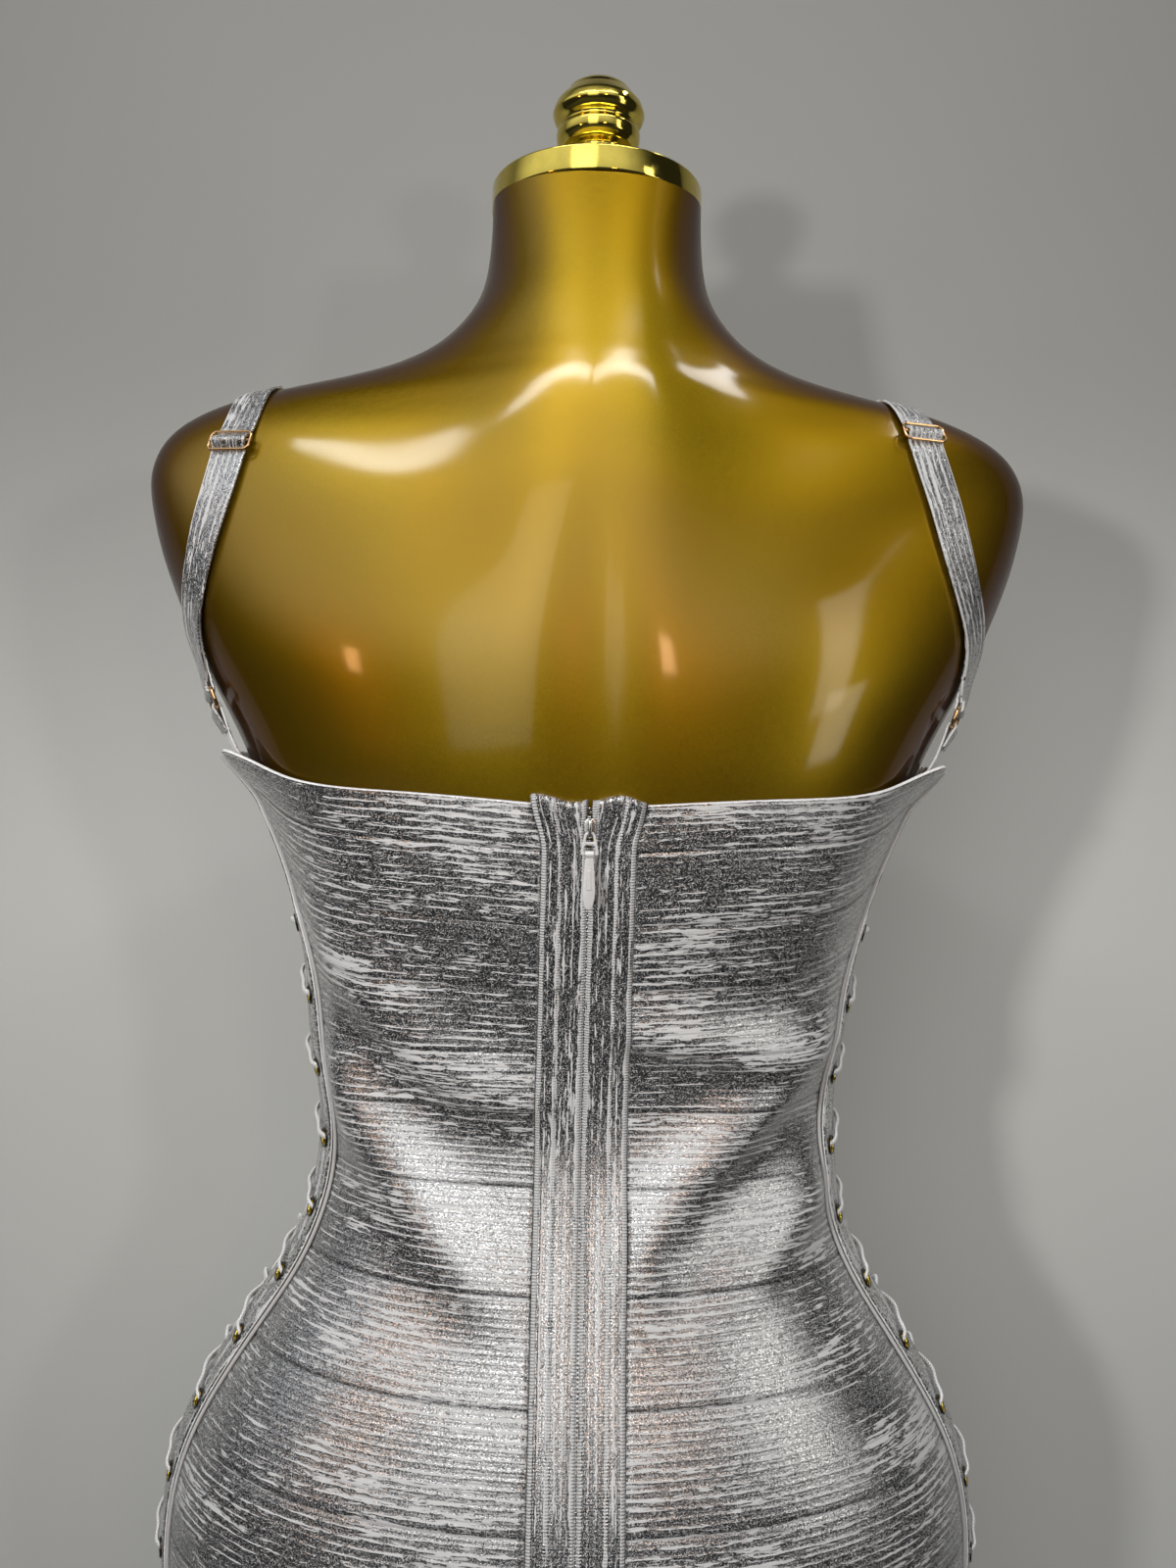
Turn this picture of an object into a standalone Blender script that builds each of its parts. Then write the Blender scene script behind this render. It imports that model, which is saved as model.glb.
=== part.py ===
"""A bodycon bandage dress on a limbless dress form with a stand.

Metres, +Z up. The origin is on the floor under the stand's centre. The dress's back and its zip
face +Y, its front faces -Y, and the wearer's left is +X.
Run it with blender --background --python part.py
"""

import functools
import math

import bmesh
import bpy
import numpy as np
from mathutils import Matrix, Vector

MM = 0.001
COLLECTION = "bodycon_dress"
CUTTERS = "cutters"

# Heights above the floor
HEM_HEIGHT = 0.560
FORM_BOTTOM = 0.700
BACK_TOP = 1.166
FRONT_TOP = 1.214
NECK_TOP = 1.446
SHOULDER_HEIGHT = 1.311
LACING_TOP = 1.106
LACING_BOTTOM = 0.628

# Cloth
CLOTH = 1.5 * MM
FORM_GAP = 1.8 * MM
SEAM = 0.3 * MM
SEAM_GROOVE = 0.9 * MM
BACK_COLUMNS = 8
FRONT_COLUMNS = 16

# Centre back fastening
ZIP_OPENING = 3.4 * MM
ZIP_BAND_WIDTH = 21 * MM
ZIP_BAND_RISE = 0.9 * MM
CHAIN_WIDTH = 2.6 * MM
CHAIN_THICKNESS = 1.6 * MM
CHAIN_LIFT = 0.3 * MM
CHAIN_TOP = 1.163
CHAIN_POINTS = 24

# Slider, its bridge, the ring on the bridge and the pull tab on the ring
SLIDER_HEIGHT = 1.1535
PLATE_WIDTH = 4.8 * MM
PLATE_LENGTH = 8.0 * MM
PLATE_THICKNESS = 1.0 * MM
STEM_LENGTH = 6.0 * MM
BRIDGE_LENGTH = 7.6 * MM
BRIDGE_DEPTH = 3.8 * MM
BRIDGE_WALL = 0.8 * MM
BRIDGE_WIDTH = 1.3 * MM
BRIDGE_SUNK = 0.25 * MM
PULL_THICKNESS = 0.9 * MM
PULL_DROP = 8.3 * MM
TAB_THICKNESS = 1.2 * MM
TAB_LOOP_OUTER = 1.55 * MM
TAB_LOOP_INNER = 0.95 * MM
TAB_LOOP_WIDTH = 3.4 * MM

# Right halves of the pull's outlines, from the top down, as (half width, height over the hinge)
# in millimetres: the ring with its two holes, and the tab below its own hinge
RING_OUTLINE = ((2.0, 0.5), (3.9, -8.8))
RING_UPPER_HOLE = ((1.1, -0.5), (1.7, -3.3))
RING_LOWER_HOLE = ((1.9, -4.6), (2.6, -7.8))
TAB_OUTLINE = ((1.7, -1.2), (2.7, -15.5), (1.6, -22.0))

# Side lacing
EYELET_BAND_WIDTH = 22 * MM
BAND_GAP = 4.0 * MM
PIPING_DIAMETER = 2.4 * MM
PIPING_SEAM = 0.6 * MM
PIPING_RISE = 0.3 * MM
EYELETS_PER_COLUMN = 16
EYELET_HOLE_RADIUS = 2.8 * MM
HOLE_SIDES = 8
LACE_DIAMETER = 3.0 * MM
LACE_CLEARANCE = 0.5 * MM
LACE_CLIMB = 0.22
LACE_BED = 2.4 * MM

# Straps with their adjusters and rings
STRAP_WIDTH = 17 * MM
STRAP_THICKNESS = 1.0 * MM
LAYER_GAP = 0.3 * MM
ADJUSTER_HEIGHTS = {"left": 1.317, "right": 1.330}
ADJUSTER_HALF_WIDTH = 10.4 * MM
ADJUSTER_HALF_LENGTH = 4.4 * MM
ADJUSTER_WIRE = 0.6 * MM
RING_HEIGHT = 1.209
RING_HALF_WIDTH = 11.2 * MM
RING_LENGTH = 9.0 * MM
RING_WIRE = 0.9 * MM
STEADY_REACH = 4 * MM

# Stand and neck
BASE_RADIUS = 0.160
BASE_THICKNESS = 0.014
BASE_TOP = 0.018
POLE_RADIUS = 0.0125
COLLAR_RADIUS = 0.045
COLLAR_THICKNESS = 0.008
CAP_RADIUS = 0.0508
CAP_HEIGHT = 0.012
NECK_CENTRE = -0.012
TOUCH = 0.3 * MM
TORSO_SIDES = 32
TORSO_ROUNDING = 6 * MM
WAIST_HOLLOW = 0.970

# Turned shapes, as (radius, height) from the foot up
CAP_PROFILE = (
    (0, 0),
    (CAP_RADIUS - 1.0 * MM, 0),
    (CAP_RADIUS, 1.0 * MM),
    (CAP_RADIUS, CAP_HEIGHT - 1.5 * MM),
    (CAP_RADIUS - 1.5 * MM, CAP_HEIGHT),
    (0, CAP_HEIGHT),
)
FINIAL_PROFILE = (
    (0, 0),
    (0.0210, 0),
    (0.0210, 0.0040),
    (0.0140, 0.0080),
    (0.0125, 0.0140),
    (0.0140, 0.0195),
    (0.0200, 0.0240),
    (0.0205, 0.0285),
    (0.0183, 0.0315),
    (0.0210, 0.0340),
    (0.0225, 0.0375),
    (0.0208, 0.0425),
    (0.0172, 0.0470),
    (0.0160, 0.0478),
    (0.0140, 0.0508),
    (0.0080, 0.0532),
    (0, 0.0540),
)
BASE_PROFILE = (
    (0, 0),
    (BASE_RADIUS, 0),
    (BASE_RADIUS, BASE_THICKNESS - 3 * MM),
    (BASE_RADIUS - 3 * MM, BASE_THICKNESS),
    (0.030, BASE_TOP),
    (0, BASE_TOP),
)

# The figure that the form has and the cloth follows, one row for each level.
# height, half width, depth behind and before the side line, share of that depth kept by the
# shoulders beside the neck, and squareness of the section
FIGURE = (
    (0.560, 0.1570, 0.0940, 0.0900, 1.00, 0.03),
    (0.600, 0.1610, 0.0975, 0.0930, 1.00, 0.03),
    (0.650, 0.1670, 0.1020, 0.0960, 1.00, 0.03),
    (0.700, 0.1725, 0.1080, 0.0990, 1.00, 0.03),
    (0.750, 0.1780, 0.1150, 0.1025, 1.00, 0.03),
    (0.800, 0.1820, 0.1210, 0.1055, 1.00, 0.03),
    (0.840, 0.1825, 0.1225, 0.1070, 1.00, 0.03),
    (0.875, 0.1750, 0.1180, 0.1065, 1.00, 0.03),
    (0.905, 0.1595, 0.1100, 0.1045, 1.00, 0.03),
    (0.930, 0.1435, 0.1010, 0.1020, 1.00, 0.03),
    (0.955, 0.1285, 0.0915, 0.0990, 1.00, 0.03),
    (0.985, 0.1180, 0.0815, 0.0955, 1.00, 0.03),
    (1.015, 0.1155, 0.0750, 0.0935, 1.00, 0.03),
    (1.045, 0.1175, 0.0755, 0.0930, 1.00, 0.04),
    (1.080, 0.1225, 0.0820, 0.0950, 1.00, 0.05),
    (1.115, 0.1300, 0.0905, 0.0975, 1.00, 0.06),
    (1.145, 0.1405, 0.0965, 0.0995, 1.00, 0.07),
    (1.170, 0.1520, 0.0995, 0.1000, 1.00, 0.07),
    (1.195, 0.1640, 0.1010, 0.0990, 0.97, 0.07),
    (1.220, 0.1775, 0.1010, 0.0970, 0.93, 0.07),
    (1.245, 0.1890, 0.0995, 0.0940, 0.88, 0.07),
    (1.270, 0.1990, 0.0965, 0.0895, 0.83, 0.06),
    (1.292, 0.2050, 0.0925, 0.0845, 0.79, 0.06),
    (1.310, 0.2070, 0.0880, 0.0790, 0.75, 0.05),
    (1.325, 0.2020, 0.0835, 0.0745, 0.71, 0.04),
    (1.336, 0.1905, 0.0795, 0.0710, 0.67, 0.03),
    (1.3445, 0.1725, 0.0760, 0.0685, 0.64, 0.02),
    (1.3510, 0.1500, 0.0725, 0.0665, 0.62, 0.00),
    (1.3565, 0.1250, 0.0690, 0.0645, 0.62, 0.00),
    (1.3635, 0.0990, 0.0640, 0.0620, 0.65, 0.00),
    (1.3735, 0.0770, 0.0575, 0.0600, 0.74, 0.00),
    (1.387, 0.0620, 0.0505, 0.0595, 0.87, 0.00),
    (1.403, 0.0535, 0.0445, 0.0600, 0.96, 0.00),
    (1.424, 0.0502, 0.0400, 0.0610, 1.00, 0.00),
    (1.446, 0.0495, 0.0380, 0.0615, 1.00, 0.00),
)
NECK_ROOT_WIDTH = 0.058

# Seams of the back's bandage strips from the hem up, drawn together at the waist. The front's
# strips are longer in proportion, up to its higher top.
SEAM_HEIGHTS = (
    0.560, 0.584, 0.626, 0.668, 0.710, 0.752, 0.795, 0.837, 0.880,
    0.922, 0.961, 1.002, 1.034, 1.060, 1.088, 1.116, 1.147, 1.166,
)

# Half of the open gap between the two eyelet bands: height, half gap
LACING_GAP = (
    (0.560, 0.0150),
    (0.700, 0.0165),
    (0.830, 0.0170),
    (0.930, 0.0140),
    (1.015, 0.0105),
    (1.070, 0.0085),
    (1.095, 0.0060),
    (1.114, 0.0010),
    (1.120, 0.0002),
    (1.240, 0.0002),
)

# Height of the neckline above BACK_TOP at the side line, by share of the way round to the
# centre back, and above FRONT_TOP by share of the way to the centre front
BACK_EDGE = (
    (0.00, 0.019),
    (0.06, 0.020),
    (0.15, 0.013),
    (0.27, 0.006),
    (0.45, 0.002),
    (0.70, 0.000),
    (1.00, -0.003),
)
FRONT_EDGE = (
    (0.00, -0.029),
    (0.12, -0.024),
    (0.30, -0.004),
    (0.48, 0.019),
    (0.60, 0.021),
    (0.80, 0.007),
    (1.00, -0.006),
)

PLAIN_EDGE = ((0.0, 0.0), (1.0, 0.0))
NECKLINE_FOOT = 1.030

# Bust of the form and its shoulder blades: half spacing, height, reach, width, height of the bump
BUST = (0.080, 1.163, 0.033, 0.052, 0.048)
CLOTH_BUST = (0.080, 1.163, 0.034, 0.066, 0.056)
BLADES = (0.090, 1.245, 0.005, 0.050, 0.050)
SPINE = (0.000, 1.250, -0.003, 0.018, 0.110)
FORM_BRIDGE = 0.50
CLOTH_BRIDGE = 0.96

# Flare of the top corner under the arm
FLARE_REACH = 9 * MM
FLARE_AROUND = 0.030
FLARE_SPREAD = 0.022

# Folds across the back where the cloth bridges the hollow of the waist, on the side named by the
# sign. Each runs through three points: (across, height), with its rise and half width.
# side, start, middle, end, rise, half width
BACK_FOLDS = (
    (+1, (0.122, 1.108), (0.078, 1.052), (0.022, 1.036), 0.0060, 0.0130),
    (+1, (0.116, 1.052), (0.084, 1.008), (0.048, 0.972), 0.0055, 0.0130),
    (-1, (0.112, 1.076), (0.064, 1.064), (0.020, 1.072), 0.0040, 0.0110),
    (-1, (0.100, 1.056), (0.060, 1.020), (0.030, 0.974), 0.0060, 0.0130),
    (-1, (0.118, 1.012), (0.094, 0.976), (0.066, 0.950), 0.0030, 0.0110),
)
FRONT_FOLDS = (
    (+1, (0.112, 1.050), (0.070, 1.030), (0.022, 1.036), 0.0030, 0.0130),
    (-1, (0.114, 1.036), (0.068, 1.014), (0.028, 1.018), 0.0035, 0.0130),
)

# Colour, roughness and metallic value of each material
FINISHES = {
    "foil_knit": ((0.62, 0.63, 0.65), 0.35, 0.75),
    "white_knit": ((0.80, 0.80, 0.81), 0.80, 0.0),
    "lace_cord": ((0.78, 0.79, 0.81), 0.50, 0.3),
    "gold_paint": ((0.62, 0.42, 0.08), 0.25, 0.8),
    "gold_plate": ((0.75, 0.55, 0.16), 0.08, 1.0),
    "rose_gold_wire": ((0.72, 0.47, 0.25), 0.15, 1.0),
    "zip_nickel": ((0.82, 0.81, 0.80), 0.25, 0.9),
    "zip_enamel": ((0.86, 0.85, 0.84), 0.30, 0.2),
}


# ---------------------------------------------------------------- figure and cloth surfaces


@functools.cache
def smoothed(rows, steps=24):
    """Rows of a table run through a natural cubic spline, with this many steps to a gap."""
    values = np.array(rows, float)
    count = len(values)
    system = np.eye(count)
    bends = np.zeros_like(values)
    for i in range(1, count - 1):
        system[i, i - 1 : i + 2] = (1, 4, 1)
        bends[i] = 6 * (values[i - 1] - 2 * values[i] + values[i + 1])
    second = np.linalg.solve(system, bends)
    along = np.linspace(0, count - 1, (count - 1) * steps + 1)
    low = np.minimum(along.astype(int), count - 2)
    share = (along - low)[:, None]
    rest = 1 - share
    return (
        (second[low] * (rest**3 - rest) + second[low + 1] * (share**3 - share)) / 6
        + values[low] * rest
        + values[low + 1] * share
    )


FIGURE_LEVELS = smoothed(FIGURE)


def read_table(rows, where):
    """Second column of a two-column table at a value of its first, with rounded corners."""
    table = smoothed(rows, 12)
    return float(np.interp(where, table[:, 0], table[:, 1]))


def ease(value, low, high):
    """0 below low, 1 above high, and smooth between them."""
    share = min(1.0, max(0.0, (value - low) / (high - low)))
    return share * share * (3 - 2 * share)


def bump(spread, across, height, bridge=0.0):
    """Height of a soft mound, mirrored about the middle and bridged to its twin by a share."""
    spacing, level, reach, wide, tall = spread
    away = (abs(across) - spacing) / wide
    share = math.exp(-(away**2))
    if away < 0:
        share = bridge + (1 - bridge) * share
    return reach * share * math.exp(-(((height - level) / tall) ** 2))


def figure_at(height, turn):
    """Point of the left half of the figure: turn is 0 at the side, +90 degrees at the centre back."""
    half_width, back, front, wing, square = (
        np.interp(height, FIGURE_LEVELS[:, 0], FIGURE_LEVELS[:, i]) for i in range(1, 6)
    )
    cosine, sine = math.cos(turn), math.sin(turn)
    across = half_width * cosine * (1 + square * sine * sine)
    neck_share = wing + (1 - wing) * math.exp(-((across / NECK_ROOT_WIDTH) ** 2))
    depth = back if sine > 0 else front
    y = depth * neck_share * sine * (1 + square * cosine * cosine)
    if sine > 0:
        y += sine * sine * (bump(BLADES, across, height) + bump(SPINE, across, height))
    else:
        y -= sine * sine * bump(BUST, across, height, FORM_BRIDGE)
    return Vector((across, y, height))


TURNS = np.radians(np.linspace(-90, 90, 91))
GIRTH_STEP = 0.0025
girths = {}


def girth_at(height):
    """Distances round the left half at a height, from the side line, at each of TURNS."""
    key = round(height / GIRTH_STEP)
    if key not in girths:
        points = np.array([figure_at(key * GIRTH_STEP, turn) for turn in TURNS])
        steps = np.linalg.norm(np.diff(points, axis=0), axis=1)
        along = np.concatenate([[0], np.cumsum(steps)])
        girths[key] = along - np.interp(0, TURNS, along)
    return girths[key]


def girth_between(height):
    """girth_at, blended between its two nearest levels so that it has no steps."""
    level = height / GIRTH_STEP
    low = math.floor(level)
    share = level - low
    return girth_at(low * GIRTH_STEP) * (1 - share) + girth_at((low + 1) * GIRTH_STEP) * share


def turn_at(height, around):
    """Turn of the point that lies this far round from the side line, towards the back if positive."""
    return float(np.interp(around, girth_between(height), TURNS))


def half_girth(height, towards_back=True):
    """Distance from the side line to the centre back, or to the centre front."""
    return abs(float(girth_between(height)[-1 if towards_back else 0]))


def on_figure(height, around, lift=0.0, side=1):
    """Point at a height and a distance round from the side line, lifted off the figure."""
    turn = turn_at(height, around)
    point, normal = surface(height, turn)
    point = point + normal * lift
    return Vector((side * point.x, point.y, point.z))


def surface(height, turn):
    """Point and outward normal of the left half of the figure."""
    small = 1e-4
    up = figure_at(height + small, turn) - figure_at(height - small, turn)
    round_step = 2e-3
    round_way = figure_at(height, turn + round_step) - figure_at(height, turn - round_step)
    return figure_at(height, turn), round_way.cross(up).normalized()


def normal_at(height, around, side=1):
    """Outward normal at a height and a distance round from the side line."""
    normal = surface(height, turn_at(height, around))[1]
    return Vector((side * normal.x, normal.y, normal.z))


def fold_rise(folds, across, height, side):
    """How far the folds of one side lift the cloth here."""
    rise = 0.0
    for fold_side, start, middle, end, tall, half_width in folds:
        if fold_side != side:
            continue
        path = [Vector(start), Vector(middle), Vector(end)]
        here = Vector((across, height))
        nearest, place = 1e9, 0.0
        for leg, (a, b) in enumerate(zip(path, path[1:])):
            share = (here - a).dot(b - a) / (b - a).length_squared
            share = min(1.0, max(0.0, share))
            distance = (here - a.lerp(b, share)).length
            if distance < nearest:
                nearest, place = distance, (leg + share) / 2
        fade = 0.35 + 0.65 * math.sin(math.pi * place)
        rise += tall * fade * math.exp(-((nearest / half_width) ** 2))
    return rise


def flare(height, around):
    """How far the top corner at the underarm stands out."""
    spread = math.exp(-(((around - FLARE_AROUND) / FLARE_SPREAD) ** 2))
    return FLARE_REACH * spread * ease(height, BACK_TOP - 6 * MM, BACK_TOP + 26 * MM)


def stretch(across, height):
    """How far the front stands off the form where it is drawn straight between high places."""
    return bump(CLOTH_BUST, across, height, CLOTH_BRIDGE) - bump(BUST, across, height, FORM_BRIDGE)


def cloth_point(height, around, lift, side=1):
    """Point of the dress: lift is measured from the form, and folds and flare come on top."""
    turn = turn_at(height, around)
    across = figure_at(height, turn).x
    lift += flare(height, around)
    if around > 0:
        lift += fold_rise(BACK_FOLDS, across, height, side)
    else:
        lift += fold_rise(FRONT_FOLDS, across, height, side)
        lift += stretch(across, height) * math.sin(turn) ** 2
    return on_figure(height, around, lift, side)


# ---------------------------------------------------------------- mesh tools


def finish(name):
    """The material of a finish, made once."""
    material = bpy.data.materials.get(name)
    if material is None:
        colour, roughness, metallic = FINISHES[name]
        material = bpy.data.materials.new(name)
        material.use_nodes = True
        shader = material.node_tree.nodes["Principled BSDF"]
        shader.inputs["Base Color"].default_value = (*colour, 1)
        shader.inputs["Roughness"].default_value = roughness
        shader.inputs["Metallic"].default_value = metallic
    return material


def place(name, mesh, finish_name, parent):
    """Object of a mesh, in the dress's collection and under an empty."""
    mesh.materials.clear()
    mesh.materials.append(finish(finish_name))
    made = bpy.data.objects.new(name, mesh)
    bpy.data.collections[COLLECTION].objects.link(made)
    made.parent = parent
    return made


def mesh_of(shape, name):
    """Mesh of a bmesh, with its faces turned outwards and round pieces shaded smooth."""
    bmesh.ops.recalc_face_normals(shape, faces=shape.faces)
    mesh = bpy.data.meshes.new(name)
    shape.to_mesh(mesh)
    shape.free()
    mesh.shade_smooth()
    mesh.set_sharp_from_angle(angle=math.radians(40))
    return mesh


def add_strip(shape, first, second, closed):
    """Faces between two rows of as many vertices."""
    count = len(first)
    for i in range(count if closed else count - 1):
        j = (i + 1) % count
        shape.faces.new((first[i], first[j], second[j], second[i]))


def loft(rings, name):
    """Closed solid through rings of points, with flat ends."""
    shape = bmesh.new()
    rows = [[shape.verts.new(point) for point in ring] for ring in rings]
    for lower, upper in zip(rows, rows[1:]):
        add_strip(shape, lower, upper, closed=True)
    shape.faces.new(rows[0][::-1])
    shape.faces.new(rows[-1])
    return mesh_of(shape, name)


def wall(inner, outer, name):
    """Closed wall between two grids of points that lie over each other."""
    shape = bmesh.new()
    skins = [[[shape.verts.new(point) for point in row] for row in grid] for grid in (inner, outer)]
    for skin in skins:
        for lower, upper in zip(skin, skin[1:]):
            add_strip(shape, lower, upper, closed=False)
    rims = [edge_loop(skin) for skin in skins]
    add_strip(shape, rims[0], rims[1], closed=True)
    return mesh_of(shape, name)


def edge_loop(grid):
    """The vertices round the border of a grid, in order."""
    return (
        grid[0]
        + [row[-1] for row in grid[1:]]
        + grid[-1][-2::-1]
        + [row[0] for row in grid[-2:0:-1]]
    )


def ribbon(path, widths, thicknesses, name):
    """Closed flat band along a path: widths and thicknesses are half vectors at each point."""
    rings = [
        (point + wide + thick, point - wide + thick, point - wide - thick, point + wide - thick)
        for point, wide, thick in zip(path, widths, thicknesses)
    ]
    return loft(rings, name)


def turned(name, profile, sides, finish_name, parent, foot=(0, 0, 0)):
    """Object turned about the upright axis through foot, from (radius, height) pairs."""
    mesh = bpy.data.meshes.new(name)
    points = [(radius, 0, height) for radius, height in profile]
    mesh.from_pydata(points, [(i, i + 1) for i in range(len(points) - 1)], [])
    made = place(name, mesh, finish_name, parent)
    made.location = foot
    screw = made.modifiers.new("turn", "SCREW")
    screw.steps = screw.render_steps = sides
    screw.use_merge_vertices = True
    screw.merge_threshold = 1e-5
    screw.use_normal_flip = True
    return made


def cylinder_profile(radius, height):
    """Profile of a plain cylinder for turned."""
    return ((0, 0), (radius, 0), (radius, height), (0, height))


def tube(points, radius, name, rings=1, cyclic=False):
    """Mesh of a wire through points, of 4 sides and 2 more for each of rings."""
    curve = bpy.data.curves.new(name, "CURVE")
    curve.dimensions = "3D"
    curve.bevel_depth = radius
    curve.bevel_resolution = rings
    curve.use_fill_caps = not cyclic
    curve.twist_mode = "MINIMUM"
    spline = curve.splines.new("POLY")
    spline.points.add(len(points) - 1)
    for target, point in zip(spline.points, points):
        target.co = (*point, 1)
    spline.use_cyclic_u = cyclic
    return welded_mesh(curve, name)


ON_EDGE = Matrix.Rotation(math.pi / 2, 4, "X")
ON_SIDE = Matrix.Rotation(math.pi / 2, 4, "Z") @ ON_EDGE


def plate(outlines, thickness, name, turn=ON_EDGE):
    """Flat plate from an outline and the outlines of its holes: ON_EDGE it lies in the X-Z plane,
    and ON_SIDE in the Y-Z plane."""
    curve = bpy.data.curves.new(name, "CURVE")
    curve.dimensions = "2D"
    curve.fill_mode = "BOTH"
    curve.extrude = thickness / 2
    for outline in outlines:
        spline = curve.splines.new("POLY")
        spline.points.add(len(outline) - 1)
        for target, (across, up) in zip(spline.points, outline):
            target.co = (across, up, 0, 1)
        spline.use_cyclic_u = True
    mesh = welded_mesh(curve, name)
    mesh.transform(turn)
    return mesh


def welded_mesh(curve, name):
    """Closed mesh of a curve, its caps joined to its sides."""
    guide = bpy.data.objects.new(name + "_guide", curve)
    bpy.context.scene.collection.objects.link(guide)
    graph = bpy.context.evaluated_depsgraph_get()
    mesh = bpy.data.meshes.new_from_object(guide.evaluated_get(graph))
    bpy.data.objects.remove(guide)
    bpy.data.curves.remove(curve)
    shape = bmesh.new()
    shape.from_mesh(mesh)
    bpy.data.meshes.remove(mesh)
    bmesh.ops.remove_doubles(shape, verts=shape.verts, dist=1e-6)
    return mesh_of(shape, name)


def joined(body, others):
    """Adds Boolean modifiers that join the helper objects to a body."""
    for other in others:
        modifier = body.modifiers.new(other.name, "BOOLEAN")
        modifier.operation = "UNION"
        modifier.object = other


def helper(name, mesh):
    """Object that only shapes another, kept in the cutters' collection and out of the render."""
    made = bpy.data.objects.new(name, mesh)
    bpy.data.collections[CUTTERS].objects.link(made)
    made.hide_render = True
    made.display_type = "WIRE"
    return made


def rounded(corners, radius, steps=4):
    """Outline with each corner of a convex polygon rounded off."""
    outline = []
    count = len(corners)
    for i, corner in enumerate(corners):
        here = Vector(corner)
        before = (Vector(corners[i - 1]) - here).normalized()
        after = (Vector(corners[(i + 1) % count]) - here).normalized()
        half = before.angle(after) / 2
        centre = here + (before + after).normalized() * radius / math.sin(half)
        start = here + before * radius / math.tan(half) - centre
        sweep = math.pi - 2 * half
        way = 1 if before.cross(after) < 0 else -1
        for step in range(steps + 1):
            angle = way * sweep * step / steps
            outline.append(tuple(centre + Matrix.Rotation(angle, 2) @ start))
    return outline


def rectangle(width, height):
    """Corners of a rectangle about the origin."""
    return [(x * width / 2, y * height / 2) for x, y in ((1, 1), (1, -1), (-1, -1), (-1, 1))]


# ---------------------------------------------------------------- form and stand


def torso_ring(height, shrink=0.0):
    """Points round the whole figure at a height, drawn in by shrink."""
    ring = []
    for i in range(TORSO_SIDES):
        turn = math.tau * i / TORSO_SIDES
        folded = turn if math.cos(turn) >= 0 else math.pi - turn
        side = 1 if math.cos(turn) >= 0 else -1
        folded = math.atan2(math.sin(folded), math.cos(folded))
        point, normal = surface(height, folded)
        point = point - normal * shrink
        ring.append(Vector((side * point.x, point.y, height)))
    return ring


def build_form(root):
    """Torso, neck cap with its finial, pole, collar and base."""
    rings = [torso_ring(FORM_BOTTOM, TORSO_ROUNDING), torso_ring(FORM_BOTTOM + TORSO_ROUNDING)]
    levels = [row[0] for row in FIGURE if row[0] > FORM_BOTTOM + TORSO_ROUNDING]
    rings += [torso_ring(height) for height in sorted(levels + [WAIST_HOLLOW])]
    place("form_torso", loft(rings, "form_torso"), "gold_paint", root)

    above_neck = (0, NECK_CENTRE, NECK_TOP + TOUCH)
    turned("neck_cap", CAP_PROFILE, 28, "gold_plate", root, above_neck)
    above_cap = (0, NECK_CENTRE, NECK_TOP + CAP_HEIGHT + 2 * TOUCH)
    turned("neck_finial", FINIAL_PROFILE, 18, "gold_plate", root, above_cap)

    turned("stand_base", BASE_PROFILE, 40, "gold_plate", root)
    pole = cylinder_profile(POLE_RADIUS, FORM_BOTTOM - COLLAR_THICKNESS - BASE_TOP - 3 * TOUCH)
    turned("stand_pole", pole, 20, "gold_plate", root, (0, 0, BASE_TOP + TOUCH))
    collar = cylinder_profile(COLLAR_RADIUS, COLLAR_THICKNESS)
    collar_foot = (0, 0, FORM_BOTTOM - COLLAR_THICKNESS - TOUCH)
    turned("stand_collar", collar, 24, "gold_plate", root, collar_foot)


# ---------------------------------------------------------------- dress panels


def gap_half(height):
    """Half of the open gap of the side lacing."""
    return read_table(LACING_GAP, height)


def piping_line(height):
    """Distance from the side line to the middle of the piping, on either side of it."""
    return gap_half(height) + EYELET_BAND_WIDTH + PIPING_SEAM + PIPING_DIAMETER / 2


def panel_start(height):
    """Distance from the side line to the edge of the front or back panel."""
    return piping_line(height) + PIPING_DIAMETER / 2 + PIPING_SEAM


def row_heights(share, top, edge):
    """Heights of the seams and the middles of the strips, where the neckline curves up at a share."""
    rise = read_table(edge, share)
    length = (top - HEM_HEIGHT) / (BACK_TOP - HEM_HEIGHT)
    seams = [HEM_HEIGHT + (height - HEM_HEIGHT) * length for height in SEAM_HEIGHTS]
    rows = [seams[0]]
    for low, high in zip(seams, seams[1:]):
        rows += [(low + high) / 2, high]
    return [level + rise * ease(level, NECKLINE_FOOT, top) for level in rows]


def panel_skins(side, shares, towards_back, end, top, edge):
    """Inner and outer points of a panel of strips, from the piping to the line that end gives."""
    way = 1 if towards_back else -1
    columns = [row_heights(share, top, edge) for share in shares]
    last = len(columns[0]) - 1
    inner, outer = [], []
    for row in range(last + 1):
        sewn = row % 2 == 0 and 0 < row < last
        inner_row, outer_row = [], []
        for share, heights in zip(shares, columns):
            height = heights[row]
            around = way * (panel_start(height) * (1 - share) + end(height) * share)
            inner_row.append(cloth_point(height, around, FORM_GAP, side))
            thickness = CLOTH - (SEAM_GROOVE if sewn else 0)
            outer_row.append(cloth_point(height, around, FORM_GAP + thickness, side))
        inner.append(inner_row)
        outer.append(outer_row)
    return inner, outer


def build_back_panels(root):
    """Left and right back panels, from the piping to the zip band."""
    shares = np.linspace(0, 1, BACK_COLUMNS + 1)
    for side, label in ((1, "left"), (-1, "right")):
        name = f"back_panel_{label}"
        skins = panel_skins(side, shares, True, zip_band_edge, BACK_TOP, BACK_EDGE)
        place(name, wall(*skins, name), "foil_knit", root)


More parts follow.
